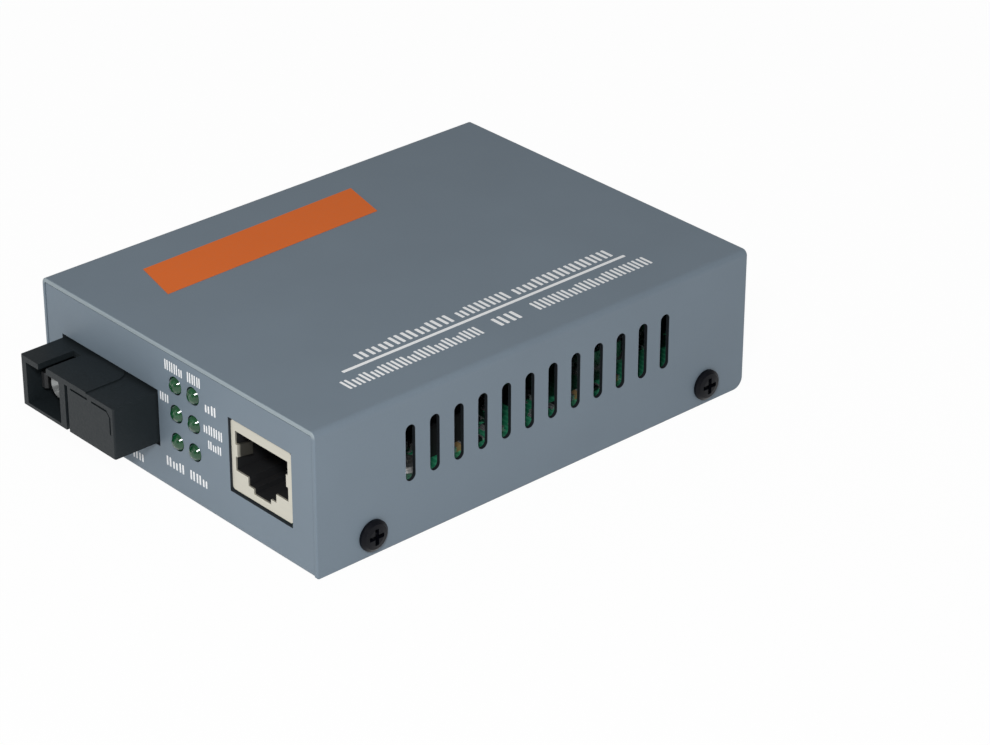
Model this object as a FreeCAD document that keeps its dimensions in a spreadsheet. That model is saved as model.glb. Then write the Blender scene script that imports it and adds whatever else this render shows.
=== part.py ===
import FreeCAD, Part
import math
import os

import Sketcher

# A fibre media converter in a folded steel case.
# Millimetres, +Z up, front panel towards -Y, origin at the middle of the case's underside.

SIZES = (
    # Case
    ("case_width", 70.0, "outside width over the cover"),
    ("case_length", 93.0, "outside length of the cover"),
    ("case_height", 26.0, "from the ground to the top of the cover"),
    ("sheet", 0.7, "thickness of the case's steel"),
    ("bend_inside", 0.35, "inner radius of the cover's two bends"),
    ("tray_bend_inside", 0.3, "inner radius of the tray's bends"),
    ("seam_gap", 0.15, "gap between the tray and the cover"),
    ("cover_lift", 0.15, "cover's lower edge above the ground"),
    ("panel_recess", 0.1, "front and rear panels behind the cover's edges"),
    ("edge_round", 0.25, "rounding of the cover's outer edges by its paint"),
    ("rear_corner", 2.0, "rounded lower rear corner of the cover's sides"),
    ("front_corner", 0.5, "rounded lower front corner of the cover's sides"),
    # Vent slots
    ("vent_count", 12, "slots in each side"),
    ("vent_pitch", 5.0, "from slot to slot"),
    ("vent_width", 2.0, "width of a slot"),
    ("vent_height", 10.0, "height of a slot over its round ends"),
    ("vent_middle_z", 15.5, "height of the slots' middle"),
    # Cover screws
    ("screw_front_y", 35.4, "front screws ahead of the middle"),
    ("screw_rear_y", 37.5, "rear screws behind the middle"),
    ("screw_z", 3.9, "height of the screws' axis"),
    ("screw_shank", 3.0, "diameter of every screw's shank"),
    ("screw_head", 5.4, "diameter of a cover screw's head"),
    ("screw_head_height", 1.1, "height of a cover screw's head"),
    ("screw_length", 5.0, "length of a cover screw under its head"),
    ("screw_hole_gap", 0.15, "play round a shank in a plain hole"),
    ("thread_gap", 0.05, "play round a shank in a tapped hole"),
    ("recess_span", 2.9, "span of the cross recess"),
    ("recess_width", 0.75, "width of the cross recess"),
    ("recess_depth", 0.8, "depth of the cross recess"),
    # Tray flanges
    ("flange_height", 7.0, "height of the tray's side flanges"),
    ("flange_length", 84.0, "length of the side flanges"),
    ("flange_relief", 1.5, "notch at the ends of a flange"),
    ("collar_wall", 0.7, "wall of the drawn collar round a tapped hole"),
    ("collar_length", 1.2, "length of the drawn collar"),
    # Circuit board and what holds it
    ("standoff_height", 5.0, "floor to board"),
    ("standoff_diameter", 5.0, "diameter of a standoff"),
    ("spigot_diameter", 4.0, "diameter of its spigot in the floor"),
    ("press_gap", 0.03, "gap round a pressed-in part"),
    ("tapped_depth", 4.4, "depth of the standoff's tapped hole"),
    ("board_thickness", 1.6, "thickness of the circuit board"),
    ("board_side_gap", 1.95, "board to the tray's side flanges"),
    ("board_gap", 0.5, "board to the front and rear panels"),
    ("board_corner", 1.0, "corner radius of the board"),
    ("board_hole_inset", 4.0, "mounting holes in from the board's sides"),
    ("left_hole_y", -8.5, "place of the front left mounting hole"),
    ("right_hole_y", -22.5, "place of the front right mounting hole"),
    ("rear_hole_y", 39.5, "place of the rear mounting holes"),
    ("board_screw_head", 5.5, "diameter of a board screw's head"),
    ("board_screw_height", 1.9, "height of a board screw's head"),
    ("board_screw_length", 5.0, "length of a board screw under its head"),
    ("lead_tail", 1.0, "leads stand out below the board"),
    ("lead_hole_gap", 0.15, "play round a lead in the board"),
    # Status lamps
    ("lamp_margin", 5.1, "left column of lamps from the optical module"),
    ("lamp_column_pitch", 4.5, "from column to column"),
    ("lamp_top_z", 20.0, "height of the top row"),
    ("lamp_row_pitch", 5.08, "from row to row"),
    ("lamp_diameter", 3.0, "diameter of a lamp's lens"),
    ("lamp_gap", 0.08, "play round a lamp in the panel"),
    ("lamp_flange", 3.8, "diameter of a lamp's flange"),
    ("lamp_flange_length", 1.0, "length of a lamp's flange"),
    ("lamp_behind", 1.3, "lamp's flange behind the panel"),
    ("lamp_length", 2.9, "from a lamp's flange to its nose"),
    ("holder_side", 2.0, "lamp holder beside the lamps' axes"),
    ("holder_depth", 4.5, "depth of the lamp holder"),
    ("holder_above", 2.2, "holder above the top row's axis"),
    ("lead_width", 0.5, "width of a lamp's square lead"),
    ("lead_spread", 2.54, "between a lamp's two leads"),
    ("lead_row_step", 1.1, "from one row's leads to the next, along the case"),
    # Network jack
    ("jack_inset", 13.6, "jack's middle from the case's right side"),
    ("jack_width", 14.9, "width over the shield"),
    ("jack_height", 12.45, "height over the shield"),
    ("jack_depth", 17.5, "depth of the shield"),
    ("jack_setback", 0.3, "shield's face behind the panel's face"),
    ("jack_clearance", 0.3, "panel opening round the shield"),
    ("jack_gap_below", 0.5, "panel opening below the shield"),
    ("shield_sheet", 0.3, "thickness of the shield"),
    ("plug_width", 12.9, "width of the plug opening"),
    ("plug_top", 10.7, "top of the plug opening above the board"),
    ("plug_bottom", 3.6, "bottom of the wide part of the opening"),
    ("latch_width", 6.9, "width of the opening's middle step"),
    ("latch_bottom", 2.1, "bottom of the middle step"),
    ("notch_width", 4.2, "width of the notch for the plug's latch"),
    ("notch_bottom", 1.2, "bottom of the notch"),
    ("plug_depth", 12.5, "depth of the plug cavity"),
    ("insert_gap", 0.05, "gap between the insert and the shield"),
    ("contact_pairs", 4, "pairs of contact wires, one of each pair with its tail in the second row"),
    ("contact_pitch", 1.02, "from contact to contact"),
    ("contact_width", 0.45, "width of a contact wire"),
    ("contact_thickness", 0.3, "thickness of a contact wire"),
    ("contact_drop", 2.8, "reach of a contact down into the plug opening"),
    ("contact_row", 14.0, "first row of the contacts' tails behind the face"),
    ("contact_row_step", 2.0, "from the first row of tails to the second"),
    ("finger_low", 6.1, "lower edge of the shield's side fingers"),
    ("finger_high", 8.3, "upper edge of the side fingers"),
    ("finger_depth", 2.6, "reach of a side finger into the jack"),
    ("finger_lean", 0.9, "lean of a side finger towards the middle"),
    ("tab_place", 8.5, "solder tabs of the shield behind its face"),
    ("tab_width", 1.6, "width of a solder tab"),
    # Optical module
    ("module_inset", 5.1, "module from the case's left side"),
    ("module_width", 25.1, "width of the module"),
    ("module_height", 9.1, "height of the module's housing"),
    ("module_length", 38.0, "length of the module"),
    ("module_reach", 8.5, "module ahead of the case's front edge"),
    ("module_lift", 0.35, "feet under the module"),
    ("module_side_gap", 0.35, "panel opening beside the module"),
    ("module_height_gap", 0.6, "panel opening above and below the module"),
    ("module_edge", 0.3, "rounding of the housing's outer edges"),
    ("port_offset", -6.6, "middle of the port from the module's middle"),
    ("port_width", 9.1, "width of the port"),
    ("port_height", 7.5, "height of the port"),
    ("port_floor", 0.6, "wall under the port"),
    ("port_depth", 11.0, "depth of the port"),
    ("key_width", 2.2, "width of the keyway in the port's top wall"),
    ("key_length", 7.0, "length of the keyway"),
    ("divider_offset", -0.15, "groove between port and block from the middle"),
    ("divider_width", 0.8, "width of that groove"),
    ("divider_depth", 2.5, "depth of that groove"),
    ("divider_top", 0.75, "skin left above that groove"),
    ("pad_height", 0.2, "height of the raised field on top"),
    ("pad_half_width", 5.3, "half width of the raised field"),
    ("pad_length", 9.2, "length of the raised field"),
    ("pad_corner", 3.0, "right rear corner radius of the raised field"),
    ("pad_left_corner", 4.5, "left rear corner radius of the raised field"),
    ("line_width", 0.35, "width of the grooved line on the block's face"),
    ("line_inset", 0.8, "grooved line from the block's edges"),
    ("line_drop", 4.2, "length of the line's upright part"),
    ("bay_wall", 1.3, "side and rear walls of the electronics bay"),
    ("bay_roof", 1.5, "wall above the electronics bay"),
    ("bay_front", 3.0, "front wall of the block"),
    ("bay_step", 12.3, "front of the bay behind the port"),
    ("lid_thickness", 0.8, "thickness of the module's bottom cover"),
    ("lid_gap", 0.1, "gap round the bottom cover"),
    ("sleeve_diameter", 4.6, "outside diameter of the optical sleeve"),
    ("sleeve_bore", 2.5, "bore of the optical sleeve"),
    ("sleeve_setback", 3.0, "sleeve behind the port's mouth"),
    ("sleeve_gap", 0.05, "gap round the sleeve where it passes a wall"),
    ("barrel_diameter", 6.4, "diameter of the optical barrel"),
    ("barrel_length", 9.5, "length of the optical barrel"),
    ("clip_base", 1.0, "thickness of the latch clip's base"),
    ("clip_arm_thickness", 0.8, "thickness of a latch arm"),
    ("clip_arm_height", 2.8, "height of a latch arm"),
    ("clip_arm_place", 3.2, "inner face of a latch arm from the port's axis"),
    ("clip_arm_length", 7.5, "length of a latch arm"),
    ("clip_hook", 0.4, "height of the hook on a latch arm"),
    ("clip_gap", 0.05, "gap between the clip and the port's walls"),
    ("module_board_height", 2.0, "underside of the module's board above the housing's"),
    ("module_board_thickness", 1.0, "thickness of the module's board"),
    ("module_board_length", 12.5, "length of the module's board"),
    ("pin_count", 9, "pins of the module"),
    ("pin_margin", 1.09, "outermost pins from the bay's side walls"),
    ("pin_diameter", 0.5, "diameter of a pin"),
    ("pin_place", 33.0, "row of pins behind the module's face"),
    # Power jack
    ("power_inset", 15.0, "power jack's middle from the case's left side"),
    ("power_width", 9.0, "width of its mouth block"),
    ("power_height", 10.8, "height of its mouth block"),
    ("power_block", 3.4, "depth of its mouth block"),
    ("power_depth", 14.0, "whole depth of the power jack"),
    ("power_body_width", 8.0, "width of its round-topped body"),
    ("power_axis", 6.4, "axis of its bore above the board"),
    ("power_bore", 6.3, "diameter of its bore"),
    ("power_bore_depth", 9.5, "depth of its bore"),
    ("power_proud", 0.3, "its mouth stands out of the rear panel"),
    ("power_gap", 0.25, "panel opening round the power jack"),
    ("power_pin", 2.0, "diameter of its centre pin"),
    ("power_pin_setback", 0.8, "centre pin behind the mouth"),
    ("spring_width", 2.0, "width of its spring contact"),
    ("spring_thickness", 0.3, "thickness of its spring contact"),
    # Parts on the board
    ("chip_side", 14.0, "side of the converter chip"),
    ("chip_height", 1.4, "thickness of the converter chip"),
    ("chip_gap", 1.4, "converter chip's leads left of the line transformer"),
    ("chip_y", -4.0, "place of the converter chip"),
    ("chip_lead_count", 14, "leads on each side of the converter chip"),
    ("chip_lead_pitch", 0.8, "from lead to lead"),
    ("chip_lead_width", 0.35, "width of a lead"),
    ("chip_lead_reach", 1.1, "leads stand out of the chip"),
    ("chip_stand", 0.1, "chip bodies above the board"),
    ("lead_thickness", 0.15, "thickness of a chip's lead"),
    ("memory_length", 4.9, "length of the memory chip"),
    ("memory_width", 3.9, "width of the memory chip"),
    ("memory_height", 1.45, "thickness of the memory chip"),
    ("memory_inset", 10.0, "memory chip's middle from the board's right side"),
    ("memory_y", 6.0, "place of the memory chip"),
    ("memory_lead_count", 4, "leads on each side of the memory chip"),
    ("memory_lead_pitch", 1.27, "from lead to lead"),
    ("transformer_length", 15.0, "length of the line transformer"),
    ("transformer_width", 10.0, "width of the line transformer"),
    ("transformer_height", 5.6, "height of the line transformer"),
    ("transformer_offset", 1.4, "line transformer's middle left of the network jack's"),
    ("transformer_y", -12.5, "place of the line transformer"),
    ("transformer_lead_count", 12, "leads on each side of the transformer"),
    ("transformer_lead_pitch", 1.1, "from lead to lead"),
    ("crystal_length", 11.3, "length of the crystal's can"),
    ("crystal_width", 4.6, "width of the crystal's can"),
    ("crystal_height", 3.6, "height of the crystal's can"),
    ("crystal_inset", 9.5, "crystal's middle from the board's right side"),
    ("crystal_y", 24.5, "place of the crystal"),
    ("coil_side", 7.3, "side of the power inductor"),
    ("coil_height", 4.0, "height of the power inductor"),
    ("coil_x", -6.0, "place of the power inductor"),
    ("coil_y", 26.0, "place of the power inductor"),
    ("regulator_length", 6.5, "length of the voltage regulator"),
    ("regulator_width", 3.5, "width of the voltage regulator"),
    ("regulator_height", 1.6, "height of the voltage regulator"),
    ("regulator_x", 7.0, "place of the voltage regulator"),
    ("regulator_y", 22.0, "place of the voltage regulator"),
    ("diode_length", 4.3, "length of the diode"),
    ("diode_width", 2.6, "width of the diode"),
    ("diode_height", 2.2, "height of the diode"),
    ("diode_offset", 1.0, "diode's middle right of the power jack's"),
    ("diode_y", 22.0, "place of the diode"),
    ("can_diameter", 6.3, "diameter of a can capacitor"),
    ("can_height", 7.7, "height of a can capacitor"),
    ("can_base", 0.9, "height of its square base"),
    ("can_inset", 13.5, "right can capacitor's middle from the board's right side"),
    ("can_y", 36.0, "row of can capacitors"),
    ("can_step", 8.5, "from one can capacitor to the next"),
    ("small_length", 2.0, "length of a chip capacitor or resistor"),
    ("small_width", 1.25, "width of a chip capacitor or resistor"),
    ("capacitor_height", 0.95, "height of a chip capacitor"),
    ("resistor_height", 0.55, "height of a chip resistor"),
    ("small_inset", 3.3, "row of small parts from the board's right side"),
    ("small_first_y", -12.0, "front end of that row"),
    ("small_step", 4.3, "from one small part to the next"),
    ("small_count", 9, "small parts in that row"),
    # Label
    ("label_length", 45.2, "length of the orange strip"),
    ("label_width", 9.75, "width of the orange strip"),
    ("label_slant", 2.6, "slant of its ends"),
    ("label_thickness", 0.08, "thickness of the strip"),
    ("label_inset", 13.38, "its middle from the case's left side"),
    ("label_y", -11.2, "place of its middle"),
    ("label_turn", 1.35, "turn of the strip in degrees"),
)

# Where else the small parts stand: the part that they serve, and how far right and back of its middle.
MORE_CAPACITORS = (
    ("chip", 5.0, 10.0), ("chip", 1.0, 10.0), ("chip", -9.5, 9.5), ("chip", -9.5, 13.0),
    ("regulator", 6.0, 2.0), ("coil", -6.0, -11.0), ("transformer", 0.0, 9.0))
MORE_RESISTORS = (
    ("transformer", 3.0, 9.0), ("transformer", 6.0, 9.0), ("memory", 0.0, -5.0), ("memory", -2.5, -5.0),
    ("diode", 5.0, 8.0), ("chip", -2.0, 16.0), ("crystal", 1.0, 8.5))


class Size:
    """A length with the formula over the sheet's cells that gives it."""

    def __init__(self, number, formula):
        self.number = number
        self.formula = formula

    def __add__(self, other):
        return Size(self.number + number(other), f"({self.formula} + {formula(other)})")

    def __radd__(self, other):
        return Size(number(other) + self.number, f"({formula(other)} + {self.formula})")

    def __sub__(self, other):
        return Size(self.number - number(other), f"({self.formula} - {formula(other)})")

    def __rsub__(self, other):
        return Size(number(other) - self.number, f"({formula(other)} - {self.formula})")

    def __mul__(self, other):
        return Size(self.number * number(other), f"({self.formula} * {formula(other)})")

    __rmul__ = __mul__

    def __truediv__(self, other):
        return Size(self.number / number(other), f"({self.formula} / {formula(other)})")

    def __neg__(self):
        return Size(-self.number, f"(0 - {self.formula})")


def number(value):
    return value.number if isinstance(value, Size) else value


def formula(value):
    return value.formula if isinstance(value, Size) else repr(float(value))


doc = FreeCAD.newDocument("media_converter")
sheet_of_sizes = doc.addObject("Spreadsheet::Sheet", "Sizes")
for row, (name, value, note) in enumerate(SIZES, start=1):
    sheet_of_sizes.set(f"A{row}", name)
    sheet_of_sizes.set(f"B{row}", str(value))
    sheet_of_sizes.set(f"C{row}", note)
    sheet_of_sizes.setAlias(f"B{row}", name)
doc.recompute()


def size(name):
    return Size(float(sheet_of_sizes.get(name)), f"Sizes.{name}")


def count(name):
    return int(size(name).number)


# Values that several pieces share
half_width = size("case_width") / 2
half_length = size("case_length") / 2
sheet = size("sheet")
tray_half_width = half_width - sheet - size("seam_gap")
board_half_width = tray_half_width - sheet - size("board_side_gap")
board_hole_x = board_half_width - size("board_hole_inset")
panel_face = half_length - size("panel_recess")
panel_back = panel_face - sheet
board_bottom = sheet + size("standoff_height")
board_top = board_bottom + size("board_thickness")
board_half_length = panel_back - size("board_gap")
shank_radius = size("screw_shank") / 2
tapped_radius = shank_radius + size("thread_gap")
plain_radius = shank_radius + size("screw_hole_gap")
jack_front = -panel_face + size("jack_setback")
jack_x = half_width - size("jack_inset")
module_x = size("module_inset") + size("module_width") / 2 - half_width
module_bottom = board_top + size("module_lift")
module_front = -half_length - size("module_reach")
port_axis = size("port_floor") + size("port_height") / 2
lamp_plane = -panel_back + size("lamp_behind")
holder_front = lamp_plane + size("lamp_flange_length")
holder_back = holder_front + size("holder_depth")
lamp_first_x = module_x + size("module_width") / 2 + size("lamp_margin")
lamp_middle_x = lamp_first_x + size("lamp_column_pitch") / 2
power_x = size("power_inset") - half_width
label_x = size("label_inset") - half_width
memory_x = board_half_width - size("memory_inset")
transformer_x = jack_x - size("transformer_offset")
transformer_left = transformer_x - size("transformer_length") / 2
chip_x = transformer_left - size("chip_gap") - size("chip_lead_reach") - size("chip_side") / 2
crystal_x = board_half_width - size("crystal_inset")
diode_x = power_x + size("diode_offset")
can_x = board_half_width - size("can_inset")
small_x = board_half_width - size("small_inset")
power_mouth = panel_face + size("power_proud")
chip_seat = board_top + size("chip_stand")

BOARD_HOLES = (
    (-board_hole_x, size("left_hole_y")),
    (board_hole_x, size("right_hole_y")),
    (-board_hole_x, size("rear_hole_y")),
    (board_hole_x, size("rear_hole_y")),
)
SCREW_PLACES = (-size("screw_front_y"), size("screw_rear_y"))
SMALL = 0.001
BEYOND = 5.0

nodes = []


def new_body(label):
    body = doc.addObject("PartDesign::Body", label)
    body.Label = label
    body.AllowCompound = True
    nodes.append(body)
    return body


def origin_part(body, role):
    for feature in body.Origin.OriginFeatures:
        if feature.Role == role:
            return feature
    raise ValueError(role)


def place(thing, x=0.0, y=0.0, z=0.0):
    """Bind a sub-part's place to the sheet."""
    for axis, value in (("x", x), ("y", y), ("z", z)):
        thing.setExpression(f"Placement.Base.{axis}", formula(value))


def new_sketch(body, plane, height=0.0):
    """A sketch on one of the body's planes, moved along the plane's normal."""
    sketch = body.newObject("Sketcher::SketchObject", "outline")
    sketch.AttachmentSupport = [(origin_part(body, plane), "")]
    sketch.MapMode = "FlatFace"
    sketch.setExpression("AttachmentOffset.Base.z", formula(height))
    return sketch


def pin_down(sketch, geometry, point, x, y):
    """Hold one point of a sketch at a place from its origin."""
    for kind, value in (("DistanceX", x), ("DistanceY", y)):
        index = sketch.addConstraint(Sketcher.Constraint(kind, -1, 1, geometry, point, float(number(value))))
        if isinstance(value, Size):
            sketch.setExpression(f"Constraints[{index}]", value.formula)


def draw_polygon(sketch, points):
    first = sketch.GeometryCount
    corners = [FreeCAD.Vector(number(x), number(y), 0) for x, y in points]
    total = len(corners)
    for index in range(total):
        sketch.addGeometry(Part.LineSegment(corners[index], corners[(index + 1) % total]), False)
    for index in range(total):
        following = first + (index + 1) % total
        sketch.addConstraint(Sketcher.Constraint("Coincident", first + index, 2, following, 1))
    for index, (x, y) in enumerate(points):
        pin_down(sketch, first + index, 1, x, y)


def draw_rectangle(sketch, x_low, x_high, y_low, y_high):
    draw_polygon(sketch, ((x_low, y_low), (x_high, y_low), (x_high, y_high), (x_low, y_high)))


def draw_circle(sketch, x, y, radius):
    centre = FreeCAD.Vector(number(x), number(y), 0)
    index = sketch.addGeometry(Part.Circle(centre, FreeCAD.Vector(0, 0, 1), number(radius)), False)
    pin_down(sketch, index, 3, x, y)
    held = sketch.addConstraint(Sketcher.Constraint("Radius", index, number(radius)))
    sketch.setExpression(f"Constraints[{held}]", formula(radius))


def draw_upright_slot(sketch, x, low, high, radius):
    """A slot with round ends, its end centres at low and high."""
    top = FreeCAD.Vector(number(x), number(high), 0)
    bottom = FreeCAD.Vector(number(x), number(low), 0)
    aside = FreeCAD.Vector(number(radius), 0, 0)
    up = FreeCAD.Vector(0, 0, 1)
    upper = sketch.addGeometry(Part.ArcOfCircle(Part.Circle(top, up, number(radius)), 0, math.pi), False)
    left = sketch.addGeometry(Part.LineSegment(top - aside, bottom - aside), False)
    lower = sketch.addGeometry(
        Part.ArcOfCircle(Part.Circle(bottom, up, number(radius)), math.pi, 2 * math.pi), False)
    right = sketch.addGeometry(Part.LineSegment(bottom + aside, top + aside), False)
    ring = ((upper, 2, left, 1), (left, 2, lower, 1), (lower, 2, right, 1), (right, 2, upper, 1))
    for one, one_end, other, other_end in ring:
        sketch.addConstraint(Sketcher.Constraint("Tangent", one, one_end, other, other_end))
    pin_down(sketch, upper, 3, x, high)
    pin_down(sketch, lower, 3, x, low)
    held = sketch.addConstraint(Sketcher.Constraint("Radius", upper, number(radius)))
    sketch.setExpression(f"Constraints[{held}]", formula(radius))


def grow(body, sketch, length, symmetric=False, reverse=False):
    pad = body.newObject("PartDesign::Pad", "grown")
    pad.Profile = sketch
    pad.setExpression("Length", formula(length))
    pad.SideType = "Symmetric" if symmetric else "One side"
    pad.Reversed = reverse
    doc.recompute()
    return pad


def cut(body, sketch, length=None, symmetric=False, reverse=False):
    """Cut a sketch into the body, and make sure that it took something away."""
    before = body.Shape.Volume
    pocket = body.newObject("PartDesign::Pocket", "cut")
    pocket.Profile = sketch
    if length is None:
        pocket.Type = "ThroughAll"
    else:
        pocket.setExpression("Length", formula(length))
    pocket.SideType = "Symmetric" if symmetric else "One side"
    pocket.Reversed = reverse
    doc.recompute()
    if body.Shape.Volume > before - SMALL:
        raise ValueError(f"a cut in {body.Label} took nothing away")
    return pocket


def turn_about(body, sketch, axis):
    """Revolve a sketch about one of its own axes."""
    turned = body.newObject("PartDesign::Revolution", "turned")
    turned.Profile = sketch
    turned.ReferenceAxis = (sketch, [axis])
    turned.Angle = 360.0
    doc.recompute()
    return turned


def edges_where(feature, wanted):
    """Names of the feature's edges whose middle and direction suit a test."""
    found = []
    for index, edge in enumerate(feature.Shape.Edges, start=1):
        first, last = edge.ParameterRange
        middle = edge.valueAt((first + last) / 2)
        run = edge.valueAt(last) - edge.valueAt(first)
        if wanted(middle, run):
            found.append(f"Edge{index}")
    return found


def dress_edges(body, kind, wanted, path, value):
    """Fillet or chamfer the edges of the body that suit a test."""
    base = body.Tip
    names = edges_where(base, wanted)
    if not names:
        raise ValueError(f"no edge to dress in {body.Label}")
    dressed = body.newObject(kind, "dressed")
    dressed.Base = (base, names)
    dressed.setExpression(path, formula(value))
    doc.recompute()
    return dressed


def round_edges(body, wanted, radius):
    return dress_edges(body, "PartDesign::Fillet", wanted, "Radius", radius)


def bevel_edges(body, wanted, length):
    return dress_edges(body, "PartDesign::Chamfer", wanted, "Size", length)


def repeat(body, feature, *runs):
    """Repeat a feature along one or two axes: (axis role, whole length, copies, reverse)."""
    many = body.newObject("PartDesign::MultiTransform", "repeated")
    many.Originals = [feature]
    patterns = []
    for role, length, copies, reverse in runs:
        pattern = body.newObject("PartDesign::LinearPattern", "row")
        pattern.Direction = (origin_part(body, role), [""])
        pattern.setExpression("Length", formula(length))
        pattern.Occurrences = copies
        pattern.Reversed = reverse
        patterns.append(pattern)
    many.Transformations = patterns
    body.Tip = many
    doc.recompute()
    return many


def mirror(body, feature, plane):
    other = body.newObject("PartDesign::Mirrored", "mirrored")
    other.Originals = [feature]
    other.MirrorPlane = (origin_part(body, plane), [""])
    body.Tip = other
    doc.recompute()
    return other


def along_y(run):
    return abs(run.x) < SMALL and abs(run.z) < SMALL


def along_x(run):
    return abs(run.y) < SMALL and abs(run.z) < SMALL


def along_z(run):
    return abs(run.x) < SMALL and abs(run.y) < SMALL


# Cover: one sheet folded over the top and both long sides.
def make_cover():
    body = new_body("cover")
    top = size("case_height")
    inner_top = top - sheet
    inner = half_width - sheet
    low = size("cover_lift")
    profile = new_sketch(body, "XZ_Plane")
    draw_polygon(profile, (
        (-half_width, low), (-inner, low), (-inner, inner_top), (inner, inner_top),
        (inner, low), (half_width, low), (half_width, top), (-half_width, top)))
    grow(body, profile, size("case_length"), symmetric=True)
    wide, tall = number(half_width), number(top)
    round_edges(body, lambda at, run: along_y(run) and abs(at.x) > wide - SMALL and at.z > tall - SMALL,
                size("bend_inside") + sheet)
    within, under = number(inner), number(inner_top)
    round_edges(body, lambda at, run: along_y(run) and abs(abs(at.x) - within) < SMALL
                and abs(at.z - under) < SMALL, size("bend_inside"))
    ground, end = number(low), number(half_length)
    round_edges(body, lambda at, run: along_x(run) and abs(at.y - end) < SMALL
                and abs(at.z - ground) < SMALL, size("rear_corner"))
    round_edges(body, lambda at, run: along_x(run) and abs(at.y + end) < SMALL
                and abs(at.z - ground) < SMALL, size("front_corner"))

    def outer_rim(at, run):
        outside = abs(at.x) > within + SMALL or at.z > under + SMALL
        return abs(abs(at.y) - end) < SMALL and outside and at.z > ground + SMALL

    round_edges(body, outer_rim, size("edge_round"))
    slot = new_sketch(body, "YZ_Plane")
    run_length = size("vent_pitch") * (count("vent_count") - 1)
    reach = size("vent_height") / 2 - size("vent_width") / 2
    draw_upright_slot(slot, -run_length / 2, size("vent_middle_z") - reach,
                      size("vent_middle_z") + reach, size("vent_width") / 2)
    vent = cut(body, slot, size("case_width") + BEYOND, symmetric=True)
    repeat(body, vent, ("Y_Axis", run_length, count("vent_count"), False))
    holes = new_sketch(body, "YZ_Plane")
    for y in SCREW_PLACES:
        draw_circle(holes, y, size("screw_z"), plain_radius)
    cut(body, holes, size("case_width") + BEYOND, symmetric=True)


# Base tray: floor, front and rear panels and two side flanges, folded from one sheet.
def make_base_tray():
    body = new_body("base_tray")
    top = size("case_height") - sheet - size("seam_gap")
    profile = new_sketch(body, "YZ_Plane")
    draw_polygon(profile, (
        (-panel_face, 0.0), (panel_face, 0.0), (panel_face, top), (panel_back, top),
        (panel_back, sheet), (-panel_back, sheet), (-panel_back, top), (-panel_face, top)))
    grow(body, profile, tray_half_width * 2, symmetric=True)
    face, back, thick = number(panel_face), number(panel_back), number(sheet)
    round_edges(body, lambda at, run: along_x(run) and abs(abs(at.y) - face) < SMALL and at.z < SMALL,
                size("tray_bend_inside") + sheet)
    round_edges(body, lambda at, run: along_x(run) and abs(abs(at.y) - back) < SMALL
                and abs(at.z - thick) < SMALL, size("tray_bend_inside"))

    wide, high = number(tray_half_width), number(top)
    round_edges(body, lambda at, run: along_y(run) and abs(abs(at.x) - wide) < SMALL
                and abs(at.z - high) < SMALL, size("bend_inside"))

    bend = size("tray_bend_inside") + sheet
    strips = new_sketch(body, "XY_Plane", sheet + BEYOND)
    half_run = size("flange_length") / 2 + size("flange_relief")
    root = tray_half_width - bend - sheet / 2
    for side in (-1.0, 1.0):
        draw_rectangle(strips, side * root, side * (tray_half_width + BEYOND), -half_run, half_run)
    cut(body, strips, sheet + BEYOND * 2)
    angles = new_sketch(body, "XZ_Plane")
    inner = tray_half_width - sheet
    for side in (-1.0, 1.0):
        draw_polygon(angles, (
            (side * root, 0.0), (side * tray_half_width, 0.0),
            (side * tray_half_width, size("flange_height")), (side * inner, size("flange_height")),
            (side * inner, sheet), (side * root, sheet)))
    grow(body, angles, size("flange_length"), symmetric=True)
    within = number(inner)
    round_edges(body, lambda at, run: along_y(run) and abs(at.y) < SMALL
                and abs(abs(at.x) - wide) < SMALL and at.z < SMALL, bend)
    round_edges(body, lambda at, run: along_y(run) and abs(at.y) < SMALL
                and abs(abs(at.x) - within) < SMALL and abs(at.z - thick) < SMALL, size("tray_bend_inside"))

    rings = new_sketch(body, "YZ_Plane", inner - size("collar_length"))
    for y in SCREW_PLACES:
        draw_circle(rings, y, size("screw_z"), tapped_radius + size("collar_wall"))
    collars = grow(body, rings, size("collar_length"))
    mirror(body, collars, "YZ_Plane")
    taps = new_sketch(body, "YZ_Plane")
    for y in SCREW_PLACES:
        draw_circle(taps, y, size("screw_z"), tapped_radius)
    cut(body, taps, size("case_width") + BEYOND, symmetric=True)

    seats = new_sketch(body, "XY_Plane", sheet + BEYOND)
    for x, y in BOARD_HOLES:
        draw_circle(seats, x, y, size("spigot_diameter") / 2 + size("press_gap"))
    cut(body, seats, sheet + BEYOND * 2)

    openings = new_sketch(body, "XZ_Plane", panel_face)
    gap = size("jack_clearance")
    draw_rectangle(openings, jack_x - size("jack_width") / 2 - gap,
                   jack_x + size("jack_width") / 2 + gap,
                   board_top - size("jack_gap_below"), board_top + size("jack_height") + gap)
    draw_rectangle(openings, module_x - size("module_width") / 2 - size("module_side_gap"),
                   module_x + size("module_width") / 2 + size("module_side_gap"),
                   module_bottom - size("module_height_gap"),
                   module_bottom + size("module_height") + size("module_height_gap"))
    for column in range(2):
        for line in range(3):
            draw_circle(openings, lamp_first_x + size("lamp_column_pitch") * column,
                        size("lamp_top_z") - size("lamp_row_pitch") * line,
                        size("lamp_diameter") / 2 + size("lamp_gap"))
    cut(body, openings, sheet + size("jack_setback"))
    rear = new_sketch(body, "XZ_Plane", -panel_face)
    draw_rectangle(rear, power_x - size("power_width") / 2 - size("power_gap"),
                   power_x + size("power_width") / 2 + size("power_gap"),
                   board_top - size("power_gap"), board_top + size("power_height") + size("power_gap"))
    cut(body, rear, sheet + size("power_proud"), reverse=True)


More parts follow.
